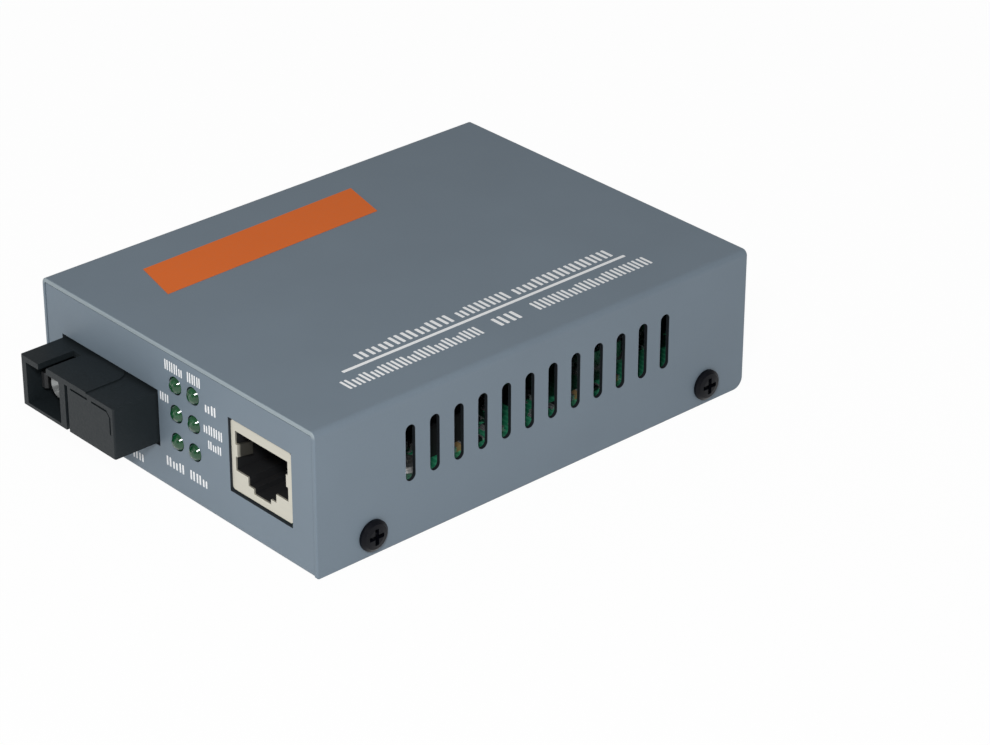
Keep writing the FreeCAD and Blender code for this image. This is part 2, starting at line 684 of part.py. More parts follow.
# Screws: those of the cover stand in its sides, those of the board in the standoffs.
def screw_shape(head, rise, length):
    """A pan-head screw standing on the plane under its head, with a cross recess."""
    radius = number(shank_radius)
    head, rise, length = number(head) / 2, number(rise), number(length)
    tip = radius * 0.2
    outline = [(0, -length), (radius - tip, -length), (radius, -length + tip), (radius, 0), (head, 0),
               (head, rise * 0.45), (head * 0.8, rise * 0.85), (head * 0.5, rise), (0, rise)]
    wire = Part.makePolygon([FreeCAD.Vector(x, 0, z) for x, z in outline + outline[:1]])
    solid = Part.Face(wire).revolve(FreeCAD.Vector(), FreeCAD.Vector(0, 0, 1), 360)
    span, width = number(size("recess_span")), number(size("recess_width"))
    depth = number(size("recess_depth"))
    for long, wide in ((span, width), (width, span)):
        slot = Part.makeBox(long, wide, depth, FreeCAD.Vector(-long / 2, -wide / 2, rise - depth))
        solid = solid.cut(slot)
    return solid


def make_shape_node(label, shapes):
    """A node whose solids are made in code from the sheet's values."""
    thing = doc.addObject("Part::Feature", label)
    thing.Label = label
    thing.Shape = shapes[0] if len(shapes) == 1 else Part.makeCompound(shapes)
    nodes.append(thing)
    return thing


def make_screws():
    head, rise = size("screw_head"), size("screw_head_height")
    screws = []
    for side in (-1, 1):
        for y in SCREW_PLACES:
            screw = screw_shape(head, rise, size("screw_length"))
            screw.rotate(FreeCAD.Vector(), FreeCAD.Vector(0, 1, 0), 90 * side)
            screw.translate(FreeCAD.Vector(side * number(half_width), number(y), number(size("screw_z"))))
            screws.append(screw)
    make_shape_node("cover_screws", screws)
    screws = []
    for x, y in BOARD_HOLES:
        screw = screw_shape(size("board_screw_head"), size("board_screw_height"), size("board_screw_length"))
        screw.translate(FreeCAD.Vector(number(x), number(y), number(board_top)))
        screws.append(screw)
    make_shape_node("board_screws", screws)


# Standoffs: turned pillars pressed into the floor, tapped from above.
def make_standoffs():
    body = new_body("board_standoffs")
    base = new_sketch(body, "XY_Plane")
    for x, y in BOARD_HOLES:
        draw_circle(base, x, y, size("spigot_diameter") / 2)
    grow(body, base, sheet)
    pillars = new_sketch(body, "XY_Plane", sheet)
    for x, y in BOARD_HOLES:
        draw_circle(pillars, x, y, size("standoff_diameter") / 2)
    grow(body, pillars, size("standoff_height"))
    taps = new_sketch(body, "XY_Plane", board_bottom)
    for x, y in BOARD_HOLES:
        draw_circle(taps, x, y, tapped_radius)
    cut(body, taps, size("tapped_depth"))


def lamp_lead_places():
    """Each lamp lead's place across, height and where it turns down."""
    places = []
    for line in range(3):
        for column in range(2):
            for side in (-0.5, 0.5):
                x = lamp_first_x + size("lamp_column_pitch") * column + size("lead_spread") * side
                z = size("lamp_top_z") - size("lamp_row_pitch") * line
                y = holder_back + size("lead_row_step") * (3 - line)
                places.append((x, y, z))
    return places


def contact_places():
    """Each contact's place across the jack and its tail's place behind the face."""
    places = []
    contacts = count("contact_pairs") * 2
    for index in range(contacts):
        x = size("contact_pitch") * (index - (contacts - 1) / 2)
        y = size("contact_row") + size("contact_row_step") * (index % 2)
        places.append((x, y))
    return places


def module_pin_places():
    """Where the module's pins stand, evenly spread over its bay."""
    reach = size("module_width") / 2 - size("bay_wall") - size("pin_margin")
    gaps = count("pin_count") - 1
    return [reach * (2 * index / gaps - 1) for index in range(gaps + 1)]


def power_tag_places():
    """The power jack's two solder tags, behind its own mouth: the pin's and the spring's."""
    return size("power_depth") + size("spring_thickness") / 2, size("power_block") + size("power_pin") * 1.5


# Circuit board, drilled for its screws and every lead that passes it.
def make_circuit_board():
    body = new_body("circuit_board")
    outline = new_sketch(body, "XY_Plane", board_bottom)
    draw_rectangle(outline, -board_half_width, board_half_width, -board_half_length, board_half_length)
    grow(body, outline, size("board_thickness"))
    round_edges(body, lambda at, run: along_z(run), size("board_corner"))
    holes = new_sketch(body, "XY_Plane", board_top + BEYOND)
    for x, y in BOARD_HOLES:
        draw_circle(holes, x, y, plain_radius)
    play = size("lead_hole_gap")
    half_diagonal = size("lead_width") * math.sqrt(0.5)
    for x, y in contact_places():
        draw_circle(holes, jack_x + x, jack_front + y, size("contact_width") / 2 + play)
    for x, y, z in lamp_lead_places():
        draw_circle(holes, x, y, half_diagonal + play / 2)
    for x in module_pin_places():
        draw_circle(holes, module_x + x, module_front + size("pin_place"), size("pin_diameter") / 2 + play)
    for side in (-1.0, 1.0):
        middle = jack_x + side * (size("jack_width") / 2 - size("shield_sheet") / 2)
        draw_rectangle(holes, middle - size("shield_sheet") / 2 - play, middle + size("shield_sheet") / 2 + play,
                       jack_front + size("tab_place") - size("tab_width") / 2 - play,
                       jack_front + size("tab_place") + size("tab_width") / 2 + play)
    for y in power_tag_places():
        draw_rectangle(holes, power_x - size("spring_width") / 2 - play,
                       power_x + size("spring_width") / 2 + play,
                       power_mouth - y - size("spring_thickness") / 2 - play,
                       power_mouth - y + size("spring_thickness") / 2 + play)
    cut(body, holes)


def plug_outline():
    """The stepped outline of the plug opening: wide body, shoulder and latch notch."""
    wide, middle, narrow = size("plug_width") / 2, size("latch_width") / 2, size("notch_width") / 2
    top, shoulder = size("plug_top"), size("plug_bottom")
    step, bottom = size("latch_bottom"), size("notch_bottom")
    return (
        (-wide, top), (-wide, shoulder), (-middle, shoulder), (-middle, step), (-narrow, step),
        (-narrow, bottom), (narrow, bottom), (narrow, step), (middle, step), (middle, shoulder),
        (wide, shoulder), (wide, top))


# Shield of the network jack: a folded can, open below, with side fingers and solder tabs.
def make_rj45_shield():
    body = new_body("rj45_shield")
    thick = size("shield_sheet")
    half, tall, deep = size("jack_width") / 2, size("jack_height"), size("jack_depth")
    block = new_sketch(body, "XZ_Plane")
    draw_rectangle(block, -half, half, 0.0, tall)
    grow(body, block, deep, reverse=True)
    edge, high = number(half), number(tall)
    round_edges(body, lambda at, run: along_y(run) and abs(abs(at.x) - edge) < SMALL, thick * 2)
    room = new_sketch(body, "XY_Plane")
    draw_rectangle(room, -half + thick, half - thick, thick, deep - thick)
    cut(body, room, tall - thick, reverse=True)
    mouth = new_sketch(body, "XZ_Plane", thick)
    draw_polygon(mouth, plug_outline())
    cut(body, mouth, thick * 3)
    finger = new_sketch(body, "XY_Plane", size("finger_low"))
    root = size("plug_width") / 2
    lean, reach = size("finger_lean"), size("finger_depth")
    draw_polygon(finger, (
        (root + thick, 0.0), (root, thick), (root - lean + thick / 2, reach), (root - lean - thick / 2, reach),
        (root - thick * 1.5, 0.0)))
    tongue = grow(body, finger, size("finger_high") - size("finger_low"))
    mirror(body, tongue, "YZ_Plane")
    tab = new_sketch(body, "YZ_Plane", half - thick)
    draw_rectangle(tab, size("tab_place") - size("tab_width") / 2, size("tab_place") + size("tab_width") / 2,
                   -size("board_thickness") - size("lead_tail"), thick)
    leg = grow(body, tab, thick)
    mirror(body, leg, "YZ_Plane")
    place(body, jack_x, jack_front, board_top)


# Contact wires: up from the board, forward in the insert's roof and back down into the plug cavity.
def make_rj45_contacts():
    body = new_body("rj45_contacts")
    thick = size("contact_thickness")
    roof = size("plug_top") + thick * 2
    low = -size("board_thickness") - size("lead_tail")
    front = thick * 4
    pairs = count("contact_pairs")
    for across, tail in contact_places()[:2]:
        wire = new_sketch(body, "YZ_Plane", across)
        draw_polygon(wire, (
            (tail + thick / 2, low), (tail + thick / 2, roof), (front, roof), (front - thick, roof - thick),
            (front - thick, size("plug_top") - thick * 1.5), (front, size("plug_top") - thick * 2.5),
            (size("plug_depth") * 0.7, size("plug_top") - size("contact_drop")),
            (size("plug_depth") * 0.7, size("plug_top") - size("contact_drop") + thick),
            (front + thick / 4, size("plug_top") - thick * 1.3), (front + thick / 4, roof - thick),
            (tail - thick / 2, roof - thick), (tail - thick / 2, low)))
        row = grow(body, wire, size("contact_width"), symmetric=True)
        repeat(body, row, ("X_Axis", size("contact_pitch") * 2 * (pairs - 1), pairs, False))
    place(body, jack_x, jack_front, board_top)
    return body


# Insert of the network jack: moulded round its contact wires, with the plug cavity.
def make_rj45_insert(contacts):
    body = new_body("rj45_insert")
    nodes.remove(body)
    body.Label = "rj45_insert_block"
    inset = size("shield_sheet") + size("insert_gap")
    half = size("jack_width") / 2 - inset
    block = new_sketch(body, "XZ_Plane", -inset)
    draw_rectangle(block, -half, half, 0.0, size("jack_height") - inset)
    grow(body, block, size("jack_depth") - inset * 2, reverse=True)
    cavity = new_sketch(body, "XZ_Plane", -inset)
    draw_polygon(cavity, plug_outline())
    cut(body, cavity, size("plug_depth"))
    place(body, jack_x, jack_front, board_top)
    moulded = doc.addObject("Part::Cut", "rj45_insert")
    moulded.Label = "rj45_insert"
    moulded.Base = body
    moulded.Tool = contacts
    nodes.append(moulded)


# Status lamps: six domed lenses that stand in the front panel's holes.
def make_status_lamps():
    body = new_body("status_lamps")
    radius = size("lamp_diameter") / 2
    lens = new_sketch(body, "XY_Plane", size("lamp_top_z"))
    left = lamp_first_x - radius
    back = holder_front
    centre = lamp_first_x
    flange = size("lamp_flange") / 2
    nose = lamp_plane - size("lamp_length")
    points = [(centre, back), (centre - flange, back), (centre - flange, lamp_plane), (left, lamp_plane)]
    for degrees in (0, 20, 40, 60, 75):
        angle = math.radians(degrees)
        points.append((centre - radius * math.cos(angle), nose + radius * (1 - math.sin(angle))))
    points.append((centre, nose))
    draw_polygon(lens, points)
    line = body.newObject("PartDesign::Line", "lamp_axis")
    line.setExpression("Placement.Base.x", formula(centre))
    line.setExpression("Placement.Base.z", formula(size("lamp_top_z")))
    line.Placement.Rotation = FreeCAD.Rotation(FreeCAD.Vector(0, 0, 1), FreeCAD.Vector(0, 1, 0))
    lamp = body.newObject("PartDesign::Revolution", "lamp")
    lamp.Profile = lens
    lamp.ReferenceAxis = (line, [""])
    lamp.Angle = 360.0
    doc.recompute()
    repeat(body, lamp, ("X_Axis", size("lamp_column_pitch"), 2, False),
           ("Z_Axis", size("lamp_row_pitch") * 2, 3, True))


# Lamp holder: a block on the board, bored for the lamps' leads.
def make_lamp_holder():
    body = new_body("lamp_holder")
    half = size("lamp_column_pitch") / 2 + size("holder_side")
    outline = new_sketch(body, "XZ_Plane", -holder_front)
    draw_rectangle(outline, lamp_middle_x - half, lamp_middle_x + half, board_top,
                   size("lamp_top_z") + size("holder_above"))
    grow(body, outline, size("holder_depth"), reverse=True)
    bores = new_sketch(body, "XZ_Plane", -holder_front)
    reach = size("lead_width") / 2 + size("press_gap")
    for x, y, z in lamp_lead_places():
        draw_rectangle(bores, x - reach, x + reach, z - reach, z + reach)
    cut(body, bores)


# Lamp leads: back through the holder, then down through the board.
def make_lamp_leads():
    body = new_body("lamp_leads")
    half = size("lead_width") / 2
    low = board_bottom - size("lead_tail")
    for line in range(3):
        x, y, z = lamp_lead_places()[line * 4]
        side = new_sketch(body, "YZ_Plane", x)
        draw_polygon(side, (
            (holder_front, z - half), (y - half, z - half), (y - half, low), (y + half, low),
            (y + half, z + half), (holder_front, z + half)))
        row = grow(body, side, size("lead_width"), symmetric=True)
        repeat(body, row, ("X_Axis", size("lead_spread"), 2, False),
               ("X_Axis", size("lamp_column_pitch"), 2, False))


def bay_outline(gap):
    """The electronics bay seen from above: beside the port it runs further forward."""
    half = size("module_width") / 2 - size("bay_wall") - gap
    split = size("divider_offset") + size("divider_width") / 2 + size("bay_wall") + gap
    rear = size("module_length") - size("bay_wall") - gap
    step = size("bay_step") + gap
    front = size("bay_front") + gap
    return ((-half, step), (split, step), (split, front), (half, front), (half, rear), (-half, rear))


# Housing of the optical module: port on the left, closed block on the right.
def make_module_housing():
    body = new_body("module_housing")
    half, tall, deep = size("module_width") / 2, size("module_height"), size("module_length")
    block = new_sketch(body, "XZ_Plane")
    draw_rectangle(block, -half, half, 0.0, tall)
    grow(body, block, deep, reverse=True)
    edge = number(half)
    round_edges(body, lambda at, run: along_z(run) and abs(abs(at.x) - edge) < SMALL, size("module_edge"))
    field = new_sketch(body, "XY_Plane", tall)
    reach = size("pad_half_width")
    draw_rectangle(field, -reach, reach, 0.0, size("pad_length"))
    grow(body, field, size("pad_height"))
    limit, end = number(reach), number(size("pad_length"))
    for side, corner in ((1, "pad_corner"), (-1, "pad_left_corner")):
        round_edges(body, lambda at, run: along_z(run) and abs(at.x - side * limit) < SMALL
                    and abs(at.y - end) < SMALL, size(corner))
    axis = size("port_offset")
    port = new_sketch(body, "XZ_Plane")
    draw_rectangle(port, axis - size("port_width") / 2, axis + size("port_width") / 2,
                   size("port_floor"), size("port_floor") + size("port_height"))
    cut(body, port, size("port_depth"))
    keyway = new_sketch(body, "XY_Plane", tall + size("pad_height"))
    draw_rectangle(keyway, axis - size("key_width") / 2, axis + size("key_width") / 2,
                   0.0, size("key_length"))
    cut(body, keyway, tall + size("pad_height") - port_axis)
    divider = new_sketch(body, "XY_Plane", tall - size("divider_top"))
    draw_rectangle(divider, size("divider_offset") - size("divider_width") / 2,
                   size("divider_offset") + size("divider_width") / 2, 0.0, size("divider_depth"))
    cut(body, divider, tall)
    line = new_sketch(body, "XZ_Plane")
    inset, wide = size("line_inset"), size("line_width")
    block_left = size("divider_offset") + size("divider_width") / 2
    upper = tall - inset
    gap = (block_left + half) / 2
    draw_rectangle(line, block_left + inset, gap - inset, upper - wide, upper)
    draw_polygon(line, (
        (gap + wide, upper), (gap + wide, upper - wide), (half - inset - wide * 3, upper - wide),
        (half - inset - wide, upper - wide * 3), (half - inset - wide, upper - size("line_drop")),
        (half - inset, upper - size("line_drop")), (half - inset, upper - wide * 3),
        (half - inset - wide * 3, upper)))
    cut(body, line, wide)
    bay = new_sketch(body, "XY_Plane")
    draw_polygon(bay, bay_outline(0.0))
    cut(body, bay, tall - size("bay_roof"), reverse=True)
    bore = new_sketch(body, "XZ_Plane")
    draw_circle(bore, axis, port_axis, size("sleeve_diameter") / 2 + size("sleeve_gap"))
    cut(body, bore, size("bay_step") + size("bay_wall"))
    feet = new_sketch(body, "XY_Plane", -size("module_lift"))
    foot = size("bay_wall") / 2
    for x in (-half + foot * 1.5, half - foot * 1.5):
        for y in (deep - foot * 1.5, size("module_reach") + foot * 4):
            draw_circle(feet, x, y, foot)
    grow(body, feet, size("module_lift"))
    place(body, module_x, module_front, module_bottom)


def make_module_bottom_cover():
    body = new_body("module_bottom_cover")
    plate = new_sketch(body, "XY_Plane")
    draw_polygon(plate, bay_outline(size("lid_gap")))
    grow(body, plate, size("lid_thickness"))
    holes = new_sketch(body, "XY_Plane", size("lid_thickness"))
    for x in module_pin_places():
        draw_circle(holes, x, size("pin_place"), size("pin_diameter") / 2 + size("press_gap"))
    cut(body, holes)
    place(body, module_x, module_front, module_bottom)


def make_module_board():
    body = new_body("module_board")
    plate = new_sketch(body, "XY_Plane", size("module_board_height"))
    half = size("module_width") / 2 - size("bay_wall") - size("lid_gap")
    rear = size("module_length") - size("bay_wall") - size("lid_gap")
    draw_rectangle(plate, -half, half, rear - size("module_board_length"), rear)
    grow(body, plate, size("module_board_thickness"))
    holes = new_sketch(body, "XY_Plane", size("module_board_height") + size("module_board_thickness"))
    for x in module_pin_places():
        draw_circle(holes, x, size("pin_place"), size("pin_diameter") / 2 + size("press_gap"))
    cut(body, holes)
    place(body, module_x, module_front, module_bottom)


def make_module_pins():
    body = new_body("module_pins")
    low = board_bottom - size("lead_tail") - module_bottom
    high = size("module_board_height") + size("module_board_thickness") + size("pin_diameter")
    pins = new_sketch(body, "XY_Plane", low)
    for x in module_pin_places():
        draw_circle(pins, x, size("pin_place"), size("pin_diameter") / 2)
    grow(body, pins, high - low)
    place(body, module_x, module_front, module_bottom)


# Optical sleeve: the tube that takes the plug's ferrule.
def make_optical_sleeve():
    body = new_body("optical_sleeve")
    profile = new_sketch(body, "YZ_Plane")
    start, end = size("sleeve_setback"), size("bay_step")
    outer, inner = size("sleeve_diameter") / 2, size("sleeve_bore") / 2
    lip = (outer - inner) / 4
    draw_polygon(profile, (
        (start, outer - lip), (start + lip * 3, inner), (end, inner), (end, outer),
        (start + lip, outer), (start, outer - lip / 2)))
    turn_about(body, profile, "H_Axis")
    place(body, module_x + size("port_offset"), module_front, module_bottom + port_axis)


# Optical barrel: the metal body of the laser and receiver, its leads on the module's board.
def make_optical_barrel():
    body = new_body("optical_barrel")
    profile = new_sketch(body, "YZ_Plane")
    start = size("bay_step")
    end = start + size("barrel_length")
    radius = size("barrel_diameter") / 2
    draw_polygon(profile, (
        (start, 0.0), (start, radius * 0.8), (start + radius * 0.6, radius * 0.8),
        (start + radius * 0.6, radius), (end, radius), (end, 0.0)))
    turn_about(body, profile, "H_Axis")
    board_face = size("module_board_height") + size("module_board_thickness") - port_axis
    wires = new_sketch(body, "XZ_Plane", -end)
    thin = size("lead_thickness")
    for side in (-1.0, 1.0):
        draw_rectangle(wires, side * radius * 0.3 - thin, side * radius * 0.3 + thin, board_face,
                       board_face + thin * 2)
    board_edge = size("module_length") - size("bay_wall") - size("module_board_length")
    lap = size("module_board_length") / 10
    grow(body, wires, board_edge + lap - end, reverse=True)
    place(body, module_x + size("port_offset"), module_front, module_bottom + port_axis)


# Latch clip: two spring arms beside the sleeve on one base plate.
def make_module_latch_clip():
    body = new_body("module_latch_clip")
    gap = size("clip_gap")
    across, up = size("port_width") / 2 - gap, size("port_height") / 2 - gap
    base = new_sketch(body, "XZ_Plane", -size("port_depth"))
    draw_rectangle(base, -across, across, -up, up)
    draw_circle(base, 0.0, 0.0, size("sleeve_diameter") / 2 + size("sleeve_gap"))
    grow(body, base, size("clip_base"))
    arm = new_sketch(body, "XY_Plane", -size("clip_arm_height") / 2)
    inner = size("clip_arm_place")
    outer = inner + size("clip_arm_thickness")
    root = size("port_depth") - size("clip_base")
    tip = root - size("clip_arm_length")
    hook = size("clip_hook")
    draw_polygon(arm, (
        (inner, root), (inner, tip + hook * 3), (inner - hook, tip + hook * 2), (inner - hook, tip + hook),
        (inner, tip), (outer, tip), (outer, root)))
    spring = grow(body, arm, size("clip_arm_height"))
    mirror(body, spring, "YZ_Plane")
    place(body, module_x + size("port_offset"), module_front, module_bottom + port_axis)


# Power jack: mouth block, round-topped body, centre pin and spring contact, facing the rear.
def turn_to_rear(body):
    body.Placement = FreeCAD.Placement(FreeCAD.Vector(), FreeCAD.Rotation(FreeCAD.Vector(0, 0, 1), 180))
    place(body, power_x, power_mouth, board_top)


def make_power_jack():
    body = new_body("power_jack_body")
    half = size("power_width") / 2
    mouth = new_sketch(body, "XZ_Plane")
    draw_rectangle(mouth, -half, half, 0.0, size("power_height"))
    grow(body, mouth, size("power_block"), reverse=True)
    slim = size("power_body_width") / 2
    trunk = new_sketch(body, "XZ_Plane", -size("power_block"))
    draw_rectangle(trunk, -slim, slim, 0.0, size("power_axis"))
    grow(body, trunk, size("power_depth") - size("power_block"), reverse=True)
    roof = new_sketch(body, "XZ_Plane", -size("power_block"))
    draw_circle(roof, 0.0, size("power_axis"), slim)
    grow(body, roof, size("power_depth") - size("power_block"), reverse=True)
    bore = new_sketch(body, "XZ_Plane")
    draw_circle(bore, 0.0, size("power_axis"), size("power_bore") / 2)
    cut(body, bore, size("power_bore_depth"))
    shaft = new_sketch(body, "XZ_Plane", -size("power_bore_depth"))
    draw_circle(shaft, 0.0, size("power_axis"), size("power_pin") / 2 + size("press_gap"))
    cut(body, shaft)
    thin, wide = size("spring_thickness"), size("spring_width") / 2
    rear_tag, front_tag = power_tag_places()
    slot = new_sketch(body, "XY_Plane")
    draw_rectangle(slot, -wide - size("press_gap"), wide + size("press_gap"),
                   front_tag - thin / 2 - size("press_gap"), front_tag + thin / 2 + size("press_gap"))
    cut(body, slot, size("power_axis"), reverse=True)
    turn_to_rear(body)

    pin = new_body("power_jack_pin")
    rod = new_sketch(pin, "XZ_Plane", -size("power_pin_setback"))
    draw_circle(rod, 0.0, size("power_axis"), size("power_pin") / 2)
    grow(pin, rod, size("power_depth") - size("power_pin_setback"), reverse=True)
    tag = new_sketch(pin, "XZ_Plane", -rear_tag + thin / 2)
    draw_rectangle(tag, -wide, wide, -size("board_thickness") - size("lead_tail"),
                   size("power_axis") + size("power_pin") / 2)
    grow(pin, tag, thin, reverse=True)
    turn_to_rear(pin)

    spring = new_body("power_jack_spring")
    side = new_sketch(spring, "YZ_Plane")
    low = size("power_axis") - size("power_bore") / 2
    draw_polygon(side, (
        (front_tag - thin / 2, -size("board_thickness") - size("lead_tail")),
        (front_tag + thin / 2, -size("board_thickness") - size("lead_tail")),
        (front_tag + thin / 2, low + thin * 1.8), (size("power_block"), low + thin * 3),
        (size("power_pin_setback") * 2, low + thin * 1.6), (size("power_pin_setback") * 2, low + thin * 0.6),
        (size("power_block"), low + thin * 2), (front_tag - thin / 2, low + thin * 0.8)))
    grow(spring, side, size("spring_width"), symmetric=True)
    turn_to_rear(spring)


def make_box_part(label, x, y, long, wide, tall, seat, chamfer):
    """A moulded chip body: a block whose upper edges are bevelled."""
    body = new_body(label)
    outline = new_sketch(body, "XY_Plane")
    draw_rectangle(outline, -long / 2, long / 2, -wide / 2, wide / 2)
    grow(body, outline, tall)
    top = number(tall)
    bevel_edges(body, lambda at, run: abs(at.z - top) < SMALL, chamfer)
    place(body, x, y, seat)
    return body


def gull_wing(reach, rise, width):
    """A chip's lead along +X from the body's side: out, down and flat on the board."""
    thin = number(size("lead_thickness"))
    knee = reach * 0.35
    outline = [(0, rise), (knee, rise), (knee + thin, thin), (reach, thin), (reach, 0), (knee, 0),
               (knee - thin, rise - thin), (0, rise - thin)]
    wire = Part.makePolygon([FreeCAD.Vector(x, -width / 2, z) for x, z in outline + outline[:1]])
    return Part.Face(wire).extrude(FreeCAD.Vector(0, width, 0))


def make_leads(label, x, y, sides, half_run, total, pitch, rise):
    """Rows of leads round a chip: sides are the angles that the rows face."""
    reach, width = number(size("chip_lead_reach")), number(size("chip_lead_width"))
    leads = []
    for angle in sides:
        for index in range(total):
            lead = gull_wing(reach, rise, width)
            lead.translate(FreeCAD.Vector(half_run[angle % 180], pitch * (index - (total - 1) / 2), 0))
            lead.rotate(FreeCAD.Vector(), FreeCAD.Vector(0, 0, 1), angle)
            lead.translate(FreeCAD.Vector(number(x), number(y), number(board_top)))
            leads.append(lead)
    make_shape_node(label, leads)


def make_chips():
    side = size("chip_side")
    make_box_part("converter_chip", chip_x, size("chip_y"), side, side, size("chip_height"),
                  chip_seat, size("lead_thickness"))
    half = number(side) / 2
    make_leads("converter_chip_leads", chip_x, size("chip_y"), (0, 90, 180, 270), {0: half, 90: half},
               count("chip_lead_count"), number(size("chip_lead_pitch")), number(size("chip_height")) / 2)
    make_box_part("memory_chip", memory_x, size("memory_y"), size("memory_width"),
                  size("memory_length"), size("memory_height"), chip_seat, size("lead_thickness"))
    make_leads("memory_chip_leads", memory_x, size("memory_y"), (0, 180),
               {0: number(size("memory_width")) / 2}, count("memory_lead_count"),
               number(size("memory_lead_pitch")), number(size("memory_height")) / 2)
    make_box_part("line_transformer", transformer_x, size("transformer_y"),
                  size("transformer_length"), size("transformer_width"), size("transformer_height"),
                  chip_seat, size("lead_thickness") * 2)
    make_leads("transformer_leads", transformer_x, size("transformer_y"), (90, 270),
               {90: number(size("transformer_width")) / 2}, count("transformer_lead_count"),
               number(size("transformer_lead_pitch")), number(size("chip_height")))
    make_box_part("power_inductor", size("coil_x"), size("coil_y"), size("coil_side"), size("coil_side"),
                  size("coil_height"), board_top, size("coil_side") / 10)
    make_box_part("voltage_regulator", size("regulator_x"), size("regulator_y"), size("regulator_length"),
                  size("regulator_width"), size("regulator_height"), board_top, size("lead_thickness"))
    make_box_part("rectifier_diode", diode_x, size("diode_y"), size("diode_length"),
                  size("diode_width"), size("diode_height"), board_top, size("lead_thickness"))


# Crystal: a low metal can with round ends on a flat rim.
def make_crystal():
    body = new_body("crystal_can")
    radius = size("crystal_width") / 2
    reach = size("crystal_length") / 2 - radius
    rim = new_sketch(body, "XY_Plane")
    draw_upright_slot(rim, 0.0, -reach, reach, radius)
    grow(body, rim, size("lead_thickness") * 3)
    can = new_sketch(body, "XY_Plane")
    draw_upright_slot(can, 0.0, -reach, reach, radius - size("lead_thickness") * 3)
    grow(body, can, size("crystal_height"))
    place(body, crystal_x, size("crystal_y"), board_top)


# Can capacitors: an aluminium can on a square plastic base.
def make_can_capacitors():
    body = new_body("can_capacitors")
    radius = size("can_diameter") / 2
    base = new_sketch(body, "XY_Plane")
    draw_rectangle(base, -radius, radius, -radius, radius)
    plinth = grow(body, base, size("can_base"))
    circle = new_sketch(body, "XY_Plane", size("can_base"))
    draw_circle(circle, 0.0, 0.0, radius)
    can = grow(body, circle, size("can_height") - size("can_base"))
    row = body.newObject("PartDesign::LinearPattern", "row")
    row.Originals = [plinth, can]
    row.Direction = (origin_part(body, "X_Axis"), [""])
    row.setExpression("Length", formula(size("can_step") * 2))
    row.Occurrences = 3
    row.Reversed = True
    body.Tip = row
    place(body, can_x, size("can_y"), board_top)


def make_small_parts():
    """Chip capacitors and resistors: a row beside the right vents and a few between the chips."""
    served = {
        "chip": (chip_x, size("chip_y")), "memory": (memory_x, size("memory_y")),
        "transformer": (transformer_x, size("transformer_y")), "crystal": (crystal_x, size("crystal_y")),
        "regulator": (size("regulator_x"), size("regulator_y")), "coil": (size("coil_x"), size("coil_y")),
        "diode": (diode_x, size("diode_y"))}
    long, wide = number(size("small_length")), number(size("small_width"))
    row = []
    for index in range(count("small_count")):
        y = number(size("small_first_y") + size("small_step") * index)
        row.append((number(small_x), y, index % 2 == 0))
    kinds = (("chip_capacitors", True, MORE_CAPACITORS, "capacitor_height"),
             ("chip_resistors", False, MORE_RESISTORS, "resistor_height"))
    for label, kept, more, height in kinds:
        shapes = []
        spots = [(x, y) for x, y, kind in row if kind == kept]
        for part, right, back in more:
            spots.append((number(served[part][0] + right), number(served[part][1] + back)))
        for x, y in spots:
            corner = FreeCAD.Vector(x - wide / 2, y - long / 2, number(board_top))
            shapes.append(Part.makeBox(wide, long, number(size(height)), corner))
        make_shape_node(label, shapes)


# Top label: a plain strip with slanted ends.
def make_top_label():
    body = new_body("top_label")
    outline = new_sketch(body, "XY_Plane")
    half, reach = size("label_width") / 2, size("label_length") / 2
    slant = size("label_slant") / 2
    draw_polygon(outline, (
        (-half, -reach + slant), (half, -reach - slant), (half, reach - slant), (-half, reach + slant)))
    grow(body, outline, size("label_thickness"))
    turn = size("label_turn")
    upright = FreeCAD.Vector(0, 0, 1)
    body.Placement = FreeCAD.Placement(FreeCAD.Vector(), FreeCAD.Rotation(upright, number(turn)))
    body.setExpression("Placement.Rotation.Angle", turn.formula)
    place(body, label_x, size("label_y"), size("case_height"))


make_cover()
make_base_tray()
make_screws()
make_standoffs()
make_circuit_board()
make_rj45_shield()
make_rj45_insert(make_rj45_contacts())
make_status_lamps()
make_lamp_holder()
make_lamp_leads()
make_module_housing()
make_module_bottom_cover()
make_module_board()
make_module_pins()
make_optical_sleeve()
make_optical_barrel()
make_module_latch_clip()
make_power_jack()
make_chips()
make_crystal()
make_can_capacitors()
make_small_parts()
make_top_label()
doc.recompute()

for thing in doc.Objects:
    if "Invalid" in thing.State or "Error" in thing.State:
        raise ValueError(f"{thing.Label} did not build: {thing.State}")
for node in nodes:
    if node.Shape.isNull() or not node.Shape.isValid():
        raise ValueError(f"{node.Label} has no sound shape")

os.makedirs("parts", exist_ok=True)
for node in nodes:
    node.Shape.exportStep(f"parts/{node.Label}.step")
    box = node.Shape.BoundBox
    print(f"{node.Label}: {len(node.Shape.Solids)} solids, {node.Shape.Volume:.1f} mm3, "
          f"x {box.XMin:.2f} {box.XMax:.2f}, y {box.YMin:.2f} {box.YMax:.2f}, z {box.ZMin:.2f} {box.ZMax:.2f}")
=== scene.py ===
import math
import random

import bmesh
import bpy
from mathutils import Matrix, Vector


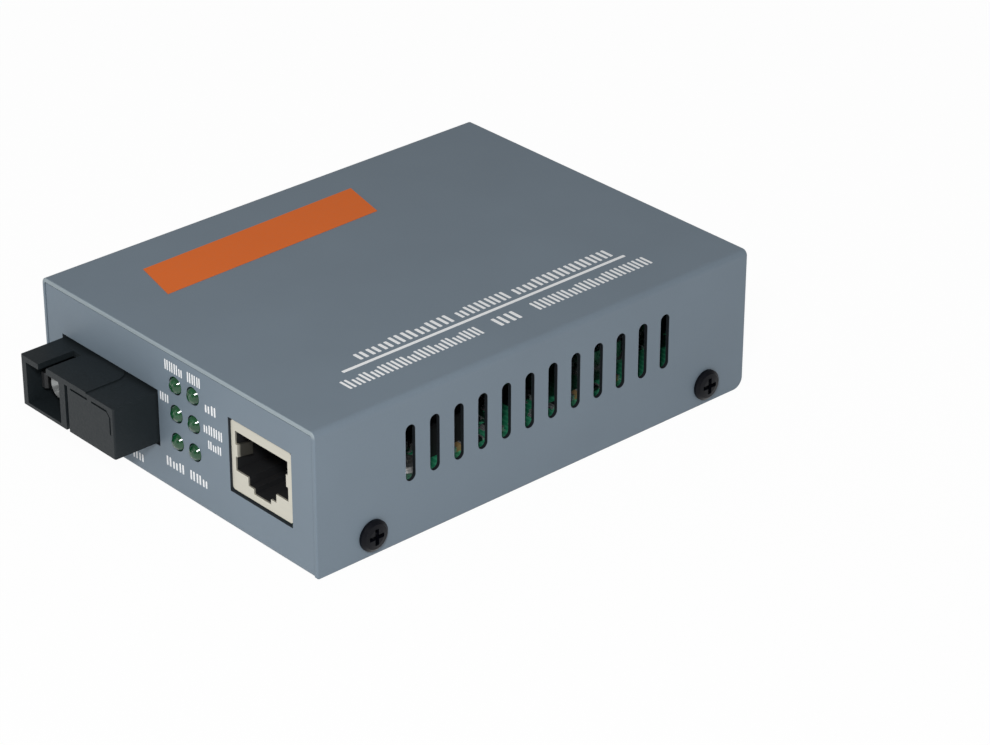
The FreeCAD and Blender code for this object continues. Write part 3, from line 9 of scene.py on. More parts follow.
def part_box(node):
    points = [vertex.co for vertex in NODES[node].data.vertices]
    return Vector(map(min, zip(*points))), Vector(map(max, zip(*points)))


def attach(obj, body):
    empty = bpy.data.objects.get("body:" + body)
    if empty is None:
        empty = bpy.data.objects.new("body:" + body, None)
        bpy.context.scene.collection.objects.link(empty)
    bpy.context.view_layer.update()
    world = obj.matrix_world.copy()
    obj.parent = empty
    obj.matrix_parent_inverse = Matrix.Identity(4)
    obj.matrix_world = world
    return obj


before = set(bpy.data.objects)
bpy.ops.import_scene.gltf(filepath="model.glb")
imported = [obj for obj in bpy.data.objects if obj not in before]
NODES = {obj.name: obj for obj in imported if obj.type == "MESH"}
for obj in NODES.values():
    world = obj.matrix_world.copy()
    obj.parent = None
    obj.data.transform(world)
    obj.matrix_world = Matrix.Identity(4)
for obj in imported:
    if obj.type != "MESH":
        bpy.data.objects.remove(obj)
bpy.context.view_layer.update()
MM = 0.001
MICRON = 0.000001

bl_info = {
    "name": "Fibre Media Converter",
    "version": (1, 0, 0),
    "blender": (4, 5, 0),
    "location": "3D View > Sidebar > Converter",
    "description": "Finishes and printed marks of a fibre media converter, with its studio",
    "category": "Object",
}


def paint(red, green, blue):
    """A colour read as it appears on a screen, as linear light."""
    def channel(value):
        value = value / 255
        return value / 12.92 if value <= 0.04045 else ((value + 0.055) / 1.055) ** 2.4
    return channel(red), channel(green), channel(blue)


# Colours painted on edges: a painted highlight along the cover's rims, and painted shade on the cut edges of
# the cover's slots and the panels' openings
RIM_HIGHLIGHT = paint(176, 188, 190)
PUNCHED_EDGE_SHADE = paint(8, 9, 11)
PANEL_EDGE_SHADE = paint(24, 26, 28)

# Tinned ends of the small chip parts
CAP_PROUD = 0.02 * MM
CAP_WIDER = 0.06 * MM
CAP_TALLER = 0.03 * MM
CAP_BEVEL = 0.04 * MM
FOOT_OUT = 0.18 * MM
FOOT_UP = 0.12 * MM
FOOT_WIDER = 0.1 * MM
FOOT_DEPTH = 0.45 * MM
FOOT_HEIGHT = 0.22 * MM
FOOT_BEVEL = 0.05 * MM
FOOT_SLOPE = math.radians(35)

# A printed bar's width and round corner, both bars' places in a pair and the heights a pair can have,
# as parts of the pair's pitch, the bar's width, the pitch and the row's height
BAR_WIDTH = 0.24
BAR_CORNER = 0.3
BAR_PLACES = (0.24, 0.7)
BAR_HEIGHTS = (1.0, 1.0, 1.0, 0.78)

# Where the painted shade over the middle of the board begins to fade and where it is gone, from the middle
SHADE_FADE_START = 31.8 * MM
SHADE_FADE_END = 32.8 * MM

# Each lamp's place and width in metres, the setting with its power, and where all of them point
LAMPS = (
    ("key_lamp", (0.245, -0.235, 0.265), 0.06, "key_power"),
    ("front_lamp", (-0.12, -0.4, 0.12), 0.2, "front_power"),
)
LAMP_AIM = (0.0, 0.0, 13 * MM)

# The photograph's viewpoint in degrees and millimetres, its focal length and width in pixels
VIEW_TURN = 47.89
VIEW_RISE = 28.51
VIEW_ROLL = 0.16
VIEW_PLACE = (381.1, -322.8, 276.7)
FOCAL_PIXELS = 3392.93
FRAME_PIXELS = 990
SENSOR_WIDTH = 36.0


# Adjustable looks

def colour_setting(name, text, default):
    return bpy.props.FloatVectorProperty(
        name=name, description=text, default=default, subtype="COLOR", size=3, min=0.0, max=1.0)


def factor_setting(name, text, default):
    return bpy.props.FloatProperty(
        name=name, description=text, default=default, subtype="FACTOR", min=0.0, max=1.0)


def length_setting(name, text, default):
    return bpy.props.FloatProperty(
        name=name, description=text, default=default, subtype="DISTANCE", unit="LENGTH", min=0.0, precision=5)


def power_setting(name, text, default):
    return bpy.props.FloatProperty(name=name, description=text, default=default, min=0.0, unit="POWER")


class CaseLook(bpy.types.PropertyGroup):
    paint_colour: colour_setting("Paint", "Colour of the case's powder coat", paint(117, 131, 143))
    paint_roughness: factor_setting("Roughness", "How matt the powder coat is", 0.5)
    grain: length_setting("Grain", "Size of the powder coat's texture", 0.35 * MM)
    screw_colour: colour_setting("Screws", "Colour of the blackened screws", paint(8, 10, 17))
    label_colour: colour_setting("Label", "Colour of the strip on top", paint(230, 112, 45))
    ink_colour: colour_setting("Ink", "Colour of the printed marks", paint(252, 254, 255))
    ink_thickness: length_setting("Ink Thickness", "Thickness of the printed marks", 0.02 * MM)


class PortLook(bpy.types.PropertyGroup):
    shield_colour: colour_setting("Jack Shield", "Colour of the nickelled shield", paint(206, 203, 190))
    insert_colour: colour_setting("Jack Insert", "Colour of the jack's moulded insert", paint(30, 31, 33))
    module_colour: colour_setting("Optical Module", "Colour of the module's housing", paint(31, 37, 40))
    sleeve_colour: colour_setting("Sleeve", "Colour of the steel optical sleeve", paint(150, 153, 153))
    lens_colour: colour_setting("Lamp Lenses", "Colour of the unlit lamps", paint(9, 74, 38))
    contact_colour: colour_setting("Contacts", "Colour of the gold-plated contacts", paint(224, 178, 92))


class BoardLook(bpy.types.PropertyGroup):
    mask_colour: colour_setting("Solder Mask", "Colour of the circuit board", paint(50, 174, 126))
    track_colour: colour_setting("Tracks", "Colour of the covered copper tracks", paint(84, 196, 150))
    solder_colour: colour_setting("Solder", "Colour of solder and tinned leads", paint(214, 216, 218))
    cap_length: length_setting("Cap Length", "Length of a small part's tinned end", 0.4 * MM)


class StudioLook(bpy.types.PropertyGroup):
    floor_colour: colour_setting("Floor", "Colour of the floor", (0.9, 0.9, 0.9))
    key_power: power_setting("Key", "Power of the key lamp", 0.93)
    front_power: power_setting("Front", "Power of the lamp before the front panel", 0.25)
    surround: bpy.props.FloatProperty(
        name="Surround", description="Strength of the light from all round", default=0.33, min=0.0)


# Node helpers

def add(tree, kind, **settings):
    node = tree.nodes.new(kind)
    for name, value in settings.items():
        setattr(node, name, value)
    return node


def maths(tree, operation, *values):
    """The result of one operation on sockets and plain numbers."""
    node = add(tree, "ShaderNodeMath", operation=operation)
    for index, value in enumerate(values):
        if isinstance(value, bpy.types.NodeSocket):
            tree.links.new(value, node.inputs[index])
        else:
            node.inputs[index].default_value = value
    return node.outputs[0]


def product(tree, first, *others):
    for other in others:
        first = maths(tree, "MULTIPLY", first, other)
    return first


def object_place(tree, stretch=(1.0, 1.0, 1.0)):
    """Coordinates in the part's own frame, stretched along its axes."""
    source = add(tree, "ShaderNodeTexCoord")
    mapping = add(tree, "ShaderNodeMapping")
    mapping.inputs["Scale"].default_value = stretch
    tree.links.new(source.outputs["Object"], mapping.inputs["Vector"])
    return mapping.outputs["Vector"]


def distance_along(tree, axis):
    """How far a point lies from the part's middle along one axis."""
    source = add(tree, "ShaderNodeTexCoord")
    parts = add(tree, "ShaderNodeSeparateXYZ")
    tree.links.new(source.outputs["Object"], parts.inputs["Vector"])
    return maths(tree, "ABSOLUTE", parts.outputs[axis])


def noise_at(tree, place, scale, detail=3.0):
    texture = add(tree, "ShaderNodeTexNoise")
    texture.inputs["Scale"].default_value = scale
    texture.inputs["Detail"].default_value = detail
    tree.links.new(place, texture.inputs["Vector"])
    return texture.outputs["Fac"]


def map_span(tree, value, source, target=(0.0, 1.0)):
    """Turn a value that runs over one span into one that runs over another."""
    span = add(tree, "ShaderNodeMapRange")
    for name, end in zip(("From Min", "From Max", "To Min", "To Max"), (*source, *target)):
        span.inputs[name].default_value = end
    tree.links.new(value, span.inputs["Value"])
    return span.outputs["Result"]


def spread(tree, noise, low, high):
    """Turn a noise, which mostly runs from 0.3 to 0.7, into a value from low to high."""
    return map_span(tree, noise, (0.3, 0.7), (low, high))


def inward(tree, distance, edge, start, end):
    """A mask that grows from nothing to all between two depths in from an edge, in millimetres."""
    return map_span(tree, distance, (edge - start * MM, edge - end * MM))


def blend_colours(tree, factor, first, second):
    mix = add(tree, "ShaderNodeMix", data_type="RGBA")
    for socket, colour in (("A", first), ("B", second)):
        entry = [item for item in mix.inputs if item.name == socket and item.type == "RGBA"][0]
        if isinstance(colour, bpy.types.NodeSocket):
            tree.links.new(colour, entry)
        else:
            entry.default_value = (*colour, 1.0)
    tree.links.new(factor, mix.inputs["Factor"])
    return [item for item in mix.outputs if item.type == "RGBA"][0]


def blend_shaders(tree, factor, first, second):
    mix = add(tree, "ShaderNodeMixShader")
    tree.links.new(factor, mix.inputs["Fac"])
    tree.links.new(first, mix.inputs[1])
    tree.links.new(second, mix.inputs[2])
    return mix.outputs["Shader"]


def shade(colour, factor):
    return tuple(min(1.0, part * factor) for part in colour)


def tint(tree, shader, mask, colour):
    """Lay a second colour over the base colour where the mask is on."""
    base = shader.inputs["Base Color"].links[0].from_socket
    tree.links.new(blend_colours(tree, mask, base, colour), shader.inputs["Base Color"])


def add_bump(tree, shader, height, depth):
    bump = add(tree, "ShaderNodeBump")
    bump.inputs["Distance"].default_value = depth
    bump.inputs["Strength"].default_value = 1.0
    tree.links.new(height, bump.inputs["Height"])
    tree.links.new(bump.outputs["Normal"], shader.inputs["Normal"])


# Finishes

def start_finish(name, colour, roughness, metallic=0.0, specular=0.5):
    """A new material with its shader set to plain values."""
    finish = bpy.data.materials.new(name)
    finish.use_nodes = True
    shader = finish.node_tree.nodes["Principled BSDF"]
    shader.inputs["Base Color"].default_value = (*colour, 1.0)
    shader.inputs["Roughness"].default_value = roughness
    shader.inputs["Metallic"].default_value = metallic
    shader.inputs["Specular IOR Level"].default_value = specular
    return finish, finish.node_tree, shader


def textured_finish(name, colour, roughness, metallic=0.0, grain=0.3 * MM, depth=10 * MICRON,
                    stretch=(1.0, 1.0, 1.0), drift=0.06, rough_drift=0.06, specular=0.5):
    """A finish whose colour and roughness drift slowly and whose surface has a fine grain."""
    finish, tree, shader = start_finish(name, colour, roughness, metallic, specular)
    place = object_place(tree, stretch)
    slow = noise_at(tree, place, 60.0)
    fine = noise_at(tree, place, 1.0 / grain, 4.0)
    tone = spread(tree, product(tree, maths(tree, "ADD", slow, fine), 0.5), 0.0, 1.0)
    tree.links.new(blend_colours(tree, tone, shade(colour, 1 - drift), shade(colour, 1 + drift)),
                   shader.inputs["Base Color"])
    tree.links.new(spread(tree, fine, roughness - rough_drift, roughness + rough_drift),
                   shader.inputs["Roughness"])
    add_bump(tree, shader, fine, depth)
    return finish, tree, shader


def plain_texture(*values, **settings):
    return textured_finish(*values, **settings)[0]


def board_finish(name, mask, track):
    """Solder mask over copper: fine tracks, vias, a glossy coat, and painted shade over the middle that fades
    out near both long edges.
    """
    finish, tree, shader = start_finish(name, mask, 0.35)
    place = object_place(tree)
    bricks = add(tree, "ShaderNodeTexBrick", offset=0.37, squash=0.6, squash_frequency=3)
    for entry, value in (("Scale", 1.0), ("Brick Width", 5.2 * MM), ("Row Height", 1.1 * MM),
                         ("Mortar Size", 0.22 * MM), ("Mortar Smooth", 0.2)):
        bricks.inputs[entry].default_value = value
    tree.links.new(place, bricks.inputs["Vector"])
    vias = add(tree, "ShaderNodeTexVoronoi")
    vias.inputs["Scale"].default_value = 320.0
    tree.links.new(place, vias.inputs["Vector"])
    via = maths(tree, "LESS_THAN", vias.outputs["Distance"], 0.16)
    # Painted shade: the middle of the board is darkened to stand in for the shade inside the case, fading to
    # the board's own colour near both long edges
    painted_shade_tracks = blend_colours(tree, bricks.outputs["Fac"], shade(mask, 0.14), shade(track, 0.18))
    unshaded_tracks = blend_colours(tree, bricks.outputs["Fac"], mask, track)
    wander = product(tree, noise_at(tree, place, 110.0), 16 * MM)
    reach = maths(tree, "ADD", distance_along(tree, "X"), wander)
    tracks = blend_colours(tree, map_span(tree, reach, (SHADE_FADE_START, SHADE_FADE_END)), painted_shade_tracks, unshaded_tracks)
    dotted = blend_colours(tree, via, tracks, shade(track, 1.5))
    tree.links.new(dotted, shader.inputs["Base Color"])
    tree.links.new(spread(tree, noise_at(tree, place, 900.0), 0.28, 0.42), shader.inputs["Roughness"])
    add_bump(tree, shader, bricks.outputs["Fac"], 30 * MICRON)
    shader.inputs["Coat Weight"].default_value = 0.4
    return finish


def lens_finish(name, colour):
    """Tinted clear resin: dark, glossy and a little see-through."""
    finish, tree, shader = start_finish(name, colour, 0.16)
    place = object_place(tree)
    cloud = noise_at(tree, place, 700.0)
    tree.links.new(blend_colours(tree, spread(tree, cloud, 0.0, 1.0), shade(colour, 0.7), shade(colour, 1.3)),
                   shader.inputs["Base Color"])
    tree.links.new(spread(tree, cloud, 0.12, 0.2), shader.inputs["Roughness"])
    shader.inputs["Transmission Weight"].default_value = 0.12
    shader.inputs["Coat Weight"].default_value = 0.4
    shader.inputs["Coat Roughness"].default_value = 0.12
    add_bump(tree, shader, cloud, 2 * MICRON)
    return finish


def paint_finish(name, look):
    return textured_finish(name, look.paint_colour, look.paint_roughness, grain=look.grain, depth=9 * MICRON,
                           drift=0.05, rough_drift=0.07, specular=0.35)


def ink_finish(look):
    """The printed marks' ink, made once for both pieces."""
    found = bpy.data.materials.get("screen_ink")
    if found:
        return found
    return plain_texture("screen_ink", look.ink_colour, 0.6, 0.0, 0.25 * MM, 6 * MICRON, drift=0.08)


def dress(finish, slot, *names):
    """Give CAD nodes a finish."""
    for name in names:
        item = NODES[name]
        if item.material_slots:
            for place in item.material_slots:
                place.material = finish
        else:
            item.data.materials.append(finish)


# Forms

def keep(name, form, finish):
    """Store a mesh piece, finish it and let it ride on the case."""
    mesh = bpy.data.meshes.new(name)
    form.to_mesh(mesh)
    form.free()
    mesh.materials.append(finish)
    piece = bpy.data.objects.new(name, mesh)
    bpy.context.scene.collection.objects.link(piece)
    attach(piece, "root")


def add_block(form, centre, size, bevel, turn=Matrix.Identity(4)):
    """A block with softened edges."""
    placing = Matrix.Translation(centre) @ turn @ Matrix.Diagonal((*size, 1.0))
    made = bmesh.ops.create_cube(form, size=1.0, matrix=placing)["verts"]
    edges = list({edge for vertex in made for edge in vertex.link_edges})
    bmesh.ops.bevel(form, geom=edges, offset=bevel, segments=2, affect="EDGES", profile=0.6)


def add_mark(form, centre, along, across, length, width, thick, corner):
    """A printed mark: a flat bar with round corners, standing a hair off its surface."""
    centre, along, across = Vector(centre), Vector(along), Vector(across)
    out = along.cross(across)
    corner = min(corner, length / 2, width / 2)
    steps = 4
    ring = []
    for quarter in range(4):
        middle_x = (length / 2 - corner) * (1 if quarter in (0, 3) else -1)
        middle_y = (width / 2 - corner) * (1 if quarter in (0, 1) else -1)
        for step in range(steps + 1):
            angle = math.pi / 2 * (quarter + step / steps)
            ring.append((middle_x + corner * math.cos(angle), middle_y + corner * math.sin(angle)))
    low = [form.verts.new(centre + along * x + across * y) for x, y in ring]
    high = [form.verts.new(centre + along * x + across * y + out * thick) for x, y in ring]
    form.faces.new(high)
    form.faces.new(reversed(low))
    for index in range(len(ring)):
        after = (index + 1) % len(ring)
        form.faces.new((low[index], low[after], high[after], high[index]))


def add_bars(form, start, along, across, length, height, pairs, thick, pick):
    """A printed row of plain upright bars, in pairs of one height."""
    pitch = length / pairs
    bar = pitch * BAR_WIDTH
    start, along, across = Vector(start), Vector(along), Vector(across)
    for index in range(pairs):
        tall = height * pick.choice(BAR_HEIGHTS)
        for side in BAR_PLACES:
            middle = start + along * (pitch * (index + side)) + across * (tall / 2)
            add_mark(form, middle, along, across, bar, tall, thick, bar * BAR_CORNER)


def islands(item):
    """Boxes of the separate solids in one node: lowest and highest corners."""
    form = bmesh.new()
    form.from_mesh(item.data)
    bmesh.ops.remove_doubles(form, verts=form.verts, dist=MICRON)
    left = set(form.verts)
    boxes = []
    while left:
        stack = [left.pop()]
        found = []
        while stack:
            vertex = stack.pop()
            found.append(vertex.co.copy())
            for edge in vertex.link_edges:
                other = edge.other_vert(vertex)
                if other in left:
                    left.remove(other)
                    stack.append(other)
        low = Vector([min(point[axis] for point in found) for axis in range(3)])
        high = Vector([max(point[axis] for point in found) for axis in range(3)])
        boxes.append((low, high))
    form.free()
    return sorted(boxes, key=lambda pair: tuple(pair[0]))


# Pieces

class CONVERTER_OT_case(bpy.types.Operator):
    """Finish the folded case, its screws and the strip on top"""
    bl_idname = "converter.case"
    bl_label = "Case"

    def execute(self, context):
        look = context.scene.converter_case
        self.finish_cover(look)
        self.finish_tray(look)
        black = plain_texture("blackened_steel", look.screw_colour, 0.38, 0.0, 0.4 * MM, 10 * MICRON,
                              drift=0.2, specular=0.14)
        dress(black, "black_screw", "cover_screws")
        zinc = plain_texture("zinc_plate", paint(196, 197, 196), 0.32, 0.9, 0.3 * MM, 4 * MICRON)
        dress(zinc, "bright_steel", "board_screws", "board_standoffs")
        strip = plain_texture("label_film", look.label_colour, 0.6, 0.0, 0.6 * MM, 3 * MICRON,
                              drift=0.03, specular=0.2)
        dress(strip, "orange_label", "top_label")
        return {"FINISHED"}

    def finish_cover(self, look):
        """Paint, with a painted highlight along the front and rear rims of the top and painted shade on the
        cut edges of the punched slots.
        """
        coat, tree, shader = paint_finish("powder_coat", look)
        width, length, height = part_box("cover")[1]
        beside, along, above = (distance_along(tree, axis) for axis in "XYZ")
        # Painted highlight: a pale band along the front and rear rims of the top, standing in for light
        # caught by the edge
        rim_highlight = product(tree, inward(tree, along, length, 0.2, 0.08), inward(tree, above, height, 1.2, 0.6))
        tint(tree, shader, product(tree, rim_highlight, 0.5), RIM_HIGHLIGHT)
        # Painted shade: the cut edges of the side slots are darkened nearly to black, standing in for the
        # shade inside the slots
        punched_edge_shade = product(
            tree, inward(tree, beside, width, 0.72, 0.68), inward(tree, beside, width, 0.0, 0.06),
            inward(tree, along, length, 6.0, 7.0), inward(tree, above, height, 2.0, 3.0))
        tint(tree, shader, product(tree, punched_edge_shade, 0.95), PUNCHED_EDGE_SHADE)
        dress(coat, "case_paint", "cover")

    def finish_tray(self, look):
        """Paint, with painted shade on the cut edges of the openings in both panels."""
        coat, tree, shader = paint_finish("panel_coat", look)
        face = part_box("base_tray")[1].y
        depth = distance_along(tree, "Y")
        # Painted shade: the cut edges of the openings are darkened, standing in for the shade in the gaps
        # round the jack, the module and the lamps
        opening_edge_shade = product(tree, inward(tree, depth, face, 0.69, 0.67), inward(tree, depth, face, 0.0, 0.04))
        above = map_span(tree, distance_along(tree, "Z"), (1.2 * MM, 1.3 * MM))
        tint(tree, shader, product(tree, opening_edge_shade, above, 0.9), PANEL_EDGE_SHADE)
        dress(coat, "case_paint", "base_tray")


class CONVERTER_OT_top_marks(bpy.types.Operator):
    """Print two rows of plain marks and a rule on the cover"""
    bl_idname = "converter.top_marks"
    bl_label = "Top Marks"

    # Place across, height, and each stretch of bars: its two ends and its pairs
    ROWS = (
        (21.7, 2.7, ((-26.4, -6.1, 8), (-5.2, 6.1, 5), (7.0, 28.8, 9))),
        (27.9, 2.8, ((-33.6, -5.4, 15), (-2.4, 2.9, 2), (6.0, 31.8, 13))),
    )
    RULE_MIDDLE = (22.9, -0.55)
    RULE_SIZE = (60.6, 0.65)

    def execute(self, context):
        look = context.scene.converter_case
        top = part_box("cover")[1].z
        thick = look.ink_thickness
        pick = random.Random(11)
        form = bmesh.new()
        along, across = (0.0, 1.0, 0.0), (-1.0, 0.0, 0.0)
        for x, height, stretches in self.ROWS:
            for low, high, pairs in stretches:
                add_bars(form, (x * MM, low * MM, top), along, across, (high - low) * MM, height * MM, pairs,
                         thick, pick)
        x, y = self.RULE_MIDDLE
        length, width = self.RULE_SIZE
        add_mark(form, (x * MM, y * MM, top), along, across, length * MM, width * MM, thick, 0.1 * MM)
        keep("top_marks", form, ink_finish(look))
        return {"FINISHED"}


class CONVERTER_OT_front_marks(bpy.types.Operator):
    """Print plain marks on the front panel and by the rear jack"""
    bl_idname = "converter.front_marks"
    bl_label = "Panel Marks"

    # Outer faces of both panels, from the middle
    PANEL_FACE = 46.4
    # Left end, right end, foot, height and pairs of bars
    FRONT = (
        (-2.4, 2.4, 22.1, 1.8, 4), (3.4, 7.0, 22.1, 1.8, 3), (-4.0, -1.5, 16.0, 1.5, 2),
        (7.7, 10.8, 18.5, 1.7, 2), (7.2, 12.2, 14.7, 1.7, 4), (8.2, 11.8, 12.1, 1.5, 3),
        (-3.1, 1.9, 4.4, 1.7, 3), (3.1, 7.9, 4.4, 1.7, 3), (-12.2, -9.0, 2.0, 1.4, 2),
    )
    REAR = (-16.5, -23.5, 20.0, 1.4, 5)

    def execute(self, context):
        look = context.scene.converter_case
        pick = random.Random(5)
        form = bmesh.new()
        for side, rows in ((-1, self.FRONT), (1, (self.REAR,))):
            for start, end, foot, height, pairs in rows:
                add_bars(form, (start * MM, side * self.PANEL_FACE * MM, foot * MM), (-side, 0, 0), (0, 0, 1),
                         abs(end - start) * MM, height * MM, pairs, look.ink_thickness, pick)
        keep("panel_marks", form, ink_finish(look))
        return {"FINISHED"}


class CONVERTER_OT_network_jack(bpy.types.Operator):
    """Finish the network jack: shield, insert and contact wires"""
    bl_idname = "converter.network_jack"
    bl_label = "Network Jack"

    def execute(self, context):
        look = context.scene.converter_ports
        shield, tree, shader = textured_finish("nickel_plate", look.shield_colour, 0.36, 0.6, 0.5 * MM,
                                               4 * MICRON, stretch=(0.15, 1.0, 1.0), drift=0.05)
        face = -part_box("rj45_shield")[0].y
        # Painted shade: the shield darkens behind the panel's face, standing in for the shade the panel casts
        # into the jack
        shield_shade_within = inward(tree, distance_along(tree, "Y"), face, 0.25, 0.6)
        tint(tree, shader, product(tree, shield_shade_within, 0.95), shade(look.shield_colour, 0.09))
        dress(shield, "nickel_shield", "rj45_shield")
        insert = plain_texture("jack_moulding", look.insert_colour, 0.5)
        dress(insert, "black_plastic", "rj45_insert", "lamp_holder", "module_latch_clip", "power_jack_body")
        gold = plain_texture("gold_plate", look.contact_colour, 0.25, 0.95, 0.4 * MM, 3 * MICRON)
        dress(gold, "gold_contact", "rj45_contacts", "module_pins")
        return {"FINISHED"}


class CONVERTER_OT_optical_module(bpy.types.Operator):
    """Finish the optical module and its steel sleeve"""
    bl_idname = "converter.optical_module"
    bl_label = "Optical Module"

    def execute(self, context):
        look = context.scene.converter_ports
        moulding = plain_texture("module_moulding", look.module_colour, 0.46, 0.0, 0.45 * MM, 16 * MICRON,
                                 drift=0.12, specular=0.22)
        dress(moulding, "module_plastic", "module_housing", "module_bottom_cover")
        sleeve = plain_texture("sleeve_steel", look.sleeve_colour, 0.24, 0.95, 0.5 * MM, 4 * MICRON,
                               drift=0.03)
        dress(sleeve, "bright_steel", "optical_sleeve")
        barrel = plain_texture("turned_steel", paint(188, 188, 186), 0.3, 0.95, 0.3 * MM, 6 * MICRON,
                               stretch=(1.0, 6.0, 1.0))
        dress(barrel, "bright_steel", "optical_barrel")
        return {"FINISHED"}


class CONVERTER_OT_status_lamps(bpy.types.Operator):
    """Finish the six status lamps"""
    bl_idname = "converter.status_lamps"
    bl_label = "Status Lamps"

    def execute(self, context):
        look = context.scene.converter_ports
        dress(lens_finish("lamp_resin", look.lens_colour), "green_lens", "status_lamps")
        return {"FINISHED"}


class CONVERTER_OT_circuit_board(bpy.types.Operator):
    """Finish the circuit board, its chips and the tinned ends of its small parts"""
    bl_idname = "converter.circuit_board"
    bl_label = "Circuit Board"

    def execute(self, context):
        look = context.scene.converter_board
        board = board_finish("solder_mask", look.mask_colour, look.track_colour)
        dress(board, "green_board", "circuit_board", "module_board")
        tin = plain_texture("tinned_metal", look.solder_colour, 0.3, 0.7, 0.3 * MM, 6 * MICRON)
        dress(tin, "tinned_lead", "lamp_leads", "converter_chip_leads", "memory_chip_leads",
              "transformer_leads", "power_jack_pin", "power_jack_spring")
        mould = plain_texture("chip_mould", paint(38, 39, 41), 0.62, 0.0, 0.2 * MM, 10 * MICRON,
                              drift=0.15)
        dress(mould, "chip_mould", "converter_chip", "memory_chip", "line_transformer",
              "voltage_regulator", "rectifier_diode")
        ferrite = plain_texture("ferrite", paint(72, 73, 75), 0.75, 0.0, 0.3 * MM, 20 * MICRON, drift=0.15)
        dress(ferrite, "ferrite", "power_inductor")
        can = plain_texture("drawn_can", paint(206, 207, 208), 0.3, 0.9, 0.4 * MM, 4 * MICRON)
        dress(can, "can_metal", "crystal_can", "can_capacitors")
        tan = plain_texture("fired_ceramic", paint(190, 160, 112), 0.5, 0.0, 0.2 * MM, 6 * MICRON)
        dress(tan, "chip_ceramic", "chip_capacitors")
        dark = plain_texture("resistor_glaze", paint(34, 34, 36), 0.35, 0.0, 0.2 * MM, 6 * MICRON)
        dress(dark, "resistor_ceramic", "chip_resistors")
        self.make_tinned_ends(look, tin)
        return {"FINISHED"}

    def make_tinned_ends(self, look, tin):
        """Caps over both ends of each chip part, with a sloping foot of solder."""
        form = bmesh.new()
        for node in ("chip_capacitors", "chip_resistors"):
            for low, high in islands(NODES[node]):
                middle = (low + high) / 2
                size = high - low
                for side in (-1, 1):
                    end = middle.y + side * (size.y / 2 - look.cap_length / 2 + CAP_PROUD)
                    cap = (size.x + CAP_WIDER, look.cap_length, size.z + CAP_TALLER)
                    add_block(form, Vector((middle.x, end, low.z + cap[2] / 2)), cap, CAP_BEVEL)
                    foot = Vector((middle.x, middle.y + side * (size.y / 2 + FOOT_OUT), low.z + FOOT_UP))
                    add_block(form, foot, (size.x + FOOT_WIDER, FOOT_DEPTH, FOOT_HEIGHT), FOOT_BEVEL,
                              Matrix.Rotation(-side * FOOT_SLOPE, 4, "X"))
        keep("tinned_ends", form, tin)


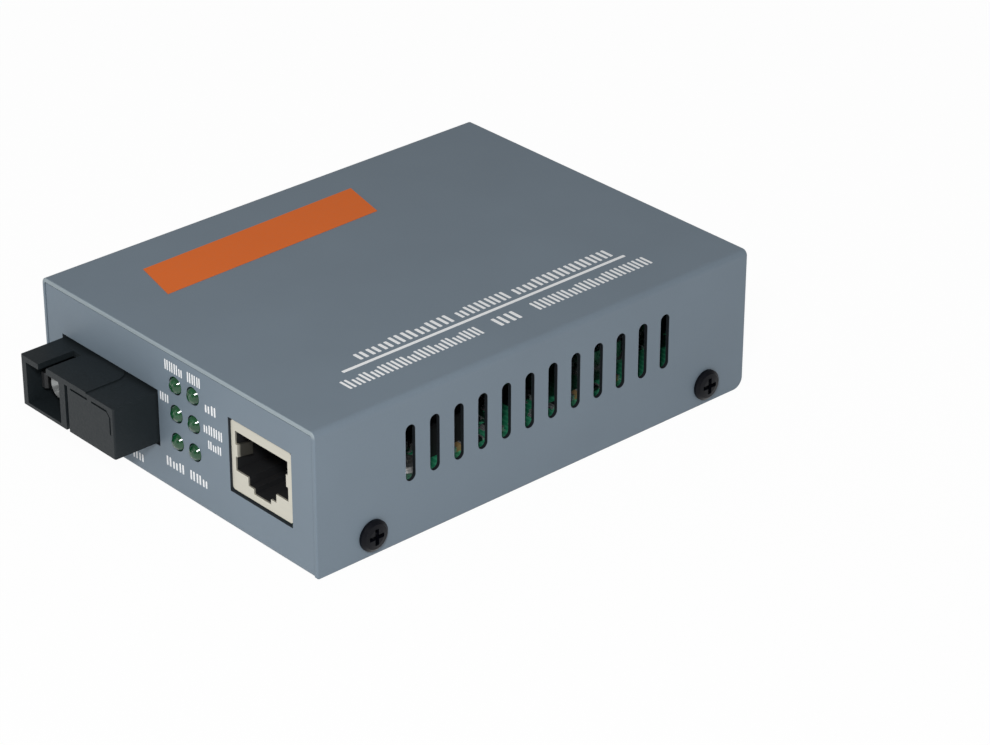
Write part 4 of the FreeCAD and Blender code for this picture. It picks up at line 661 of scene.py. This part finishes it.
class CONVERTER_OT_studio(bpy.types.Operator):
    """Set up the floor, the soft lamps and the camera"""
    bl_idname = "converter.studio"
    bl_label = "Studio"

    def execute(self, context):
        scene = context.scene
        look = scene.converter_studio
        self.make_floor(scene, look)
        self.make_surround(scene, look)
        for name, place, width, power in LAMPS:
            self.make_lamp(scene, name, place, width, getattr(look, power))
        self.make_camera(scene)
        scene.view_settings.view_transform = "Standard"
        return {"FINISHED"}

    def make_floor(self, scene, look):
        """A wide floor that looks white and still takes the part's shadow."""
        form = bmesh.new()
        bmesh.ops.create_grid(form, x_segments=8, y_segments=8, size=6.0)
        mesh = bpy.data.meshes.new("floor")
        form.to_mesh(mesh)
        form.free()
        floor = bpy.data.objects.new("floor", mesh)
        floor.location.z = -0.02 * MM
        scene.collection.objects.link(floor)
        finish, tree, shader = start_finish("pale_floor", look.floor_colour, 0.8, specular=0.1)
        place = object_place(tree)
        tree.links.new(spread(tree, noise_at(tree, place, 8.0), 0.75, 0.85), shader.inputs["Roughness"])
        white = add(tree, "ShaderNodeEmission")
        white.inputs["Color"].default_value = (1.0, 1.0, 1.0, 1.0)
        white.inputs["Strength"].default_value = 1.0
        path = add(tree, "ShaderNodeLightPath")
        seen = path.outputs["Is Camera Ray"]
        for ray in ("Is Glossy Ray", "Is Transmission Ray"):
            seen = maths(tree, "MAXIMUM", seen, path.outputs[ray])
        surface = blend_shaders(
            tree, product(tree, seen, 0.97), shader.outputs["BSDF"], white.outputs["Emission"])
        tree.links.new(surface, tree.nodes["Material Output"].inputs["Surface"])
        mesh.materials.append(finish)

    def make_surround(self, scene, look):
        """Even light from all round, behind which the camera sees white."""
        world = bpy.data.worlds.new("studio")
        world.use_nodes = True
        tree = world.node_tree
        soft = tree.nodes["Background"]
        white = add(tree, "ShaderNodeBackground")
        for node, strength in ((soft, look.surround), (white, 1.0)):
            node.inputs["Color"].default_value = (1.0, 1.0, 1.0, 1.0)
            node.inputs["Strength"].default_value = strength
        path = add(tree, "ShaderNodeLightPath")
        surface = blend_shaders(
            tree, path.outputs["Is Camera Ray"], soft.outputs["Background"], white.outputs["Background"])
        tree.links.new(surface, tree.nodes["World Output"].inputs["Surface"])
        scene.world = world

    def make_lamp(self, scene, name, place, width, power):
        data = bpy.data.lights.new(name, "AREA")
        data.energy = power
        data.size = width
        lamp = bpy.data.objects.new(name, data)
        lamp.location = place
        aim = Vector(LAMP_AIM) - Vector(place)
        lamp.rotation_euler = aim.to_track_quat("-Z", "Y").to_euler()
        scene.collection.objects.link(lamp)

    def make_camera(self, scene):
        """The photograph's viewpoint: azimuth, elevation and a slight roll."""
        turn, rise, roll = (math.radians(angle) for angle in (VIEW_TURN, VIEW_RISE, VIEW_ROLL))
        ahead = Vector((-math.sin(turn) * math.cos(rise), math.cos(turn) * math.cos(rise), -math.sin(rise)))
        level = Vector((math.cos(turn), math.sin(turn), 0.0))
        upward = level.cross(ahead)
        right = level * math.cos(roll) + upward * math.sin(roll)
        up = upward * math.cos(roll) - level * math.sin(roll)
        data = bpy.data.cameras.new("camera")
        data.sensor_width = SENSOR_WIDTH
        data.lens = SENSOR_WIDTH * FOCAL_PIXELS / FRAME_PIXELS
        data.clip_start = 0.01
        camera = bpy.data.objects.new("camera", data)
        placing = Matrix((right, up, -ahead)).transposed().to_4x4()
        placing.translation = Vector(VIEW_PLACE) * MM
        camera.matrix_world = placing
        scene.collection.objects.link(camera)
        scene.camera = camera


class CONVERTER_PT_panel(bpy.types.Panel):
    bl_idname = "CONVERTER_PT_panel"
    bl_label = "Media Converter"
    bl_space_type = "VIEW_3D"
    bl_region_type = "UI"
    bl_category = "Converter"

    def draw(self, context):
        for heading, name, group in LOOKS:
            box = self.layout.box()
            box.label(text=heading)
            settings = getattr(context.scene, name)
            for entry in group.__annotations__:
                box.prop(settings, entry)
        for piece in PIECES:
            self.layout.operator(piece.bl_idname)


LOOKS = (
    ("Case", "converter_case", CaseLook),
    ("Ports", "converter_ports", PortLook),
    ("Board", "converter_board", BoardLook),
    ("Studio", "converter_studio", StudioLook),
)
PIECES = (
    CONVERTER_OT_case,
    CONVERTER_OT_top_marks,
    CONVERTER_OT_front_marks,
    CONVERTER_OT_network_jack,
    CONVERTER_OT_optical_module,
    CONVERTER_OT_status_lamps,
    CONVERTER_OT_circuit_board,
    CONVERTER_OT_studio,
)
CLASSES = tuple(group for heading, name, group in LOOKS) + PIECES + (CONVERTER_PT_panel,)


def register():
    for item in CLASSES:
        bpy.utils.register_class(item)
    for heading, name, group in LOOKS:
        setattr(bpy.types.Scene, name, bpy.props.PointerProperty(type=group))


def unregister():
    for heading, name, group in LOOKS:
        delattr(bpy.types.Scene, name)
    for item in reversed(CLASSES):
        bpy.utils.unregister_class(item)


def main():
    register()
    for piece in PIECES:
        family, action = piece.bl_idname.split(".")
        getattr(getattr(bpy.ops, family), action)()


if __name__ == "__main__":
    main()
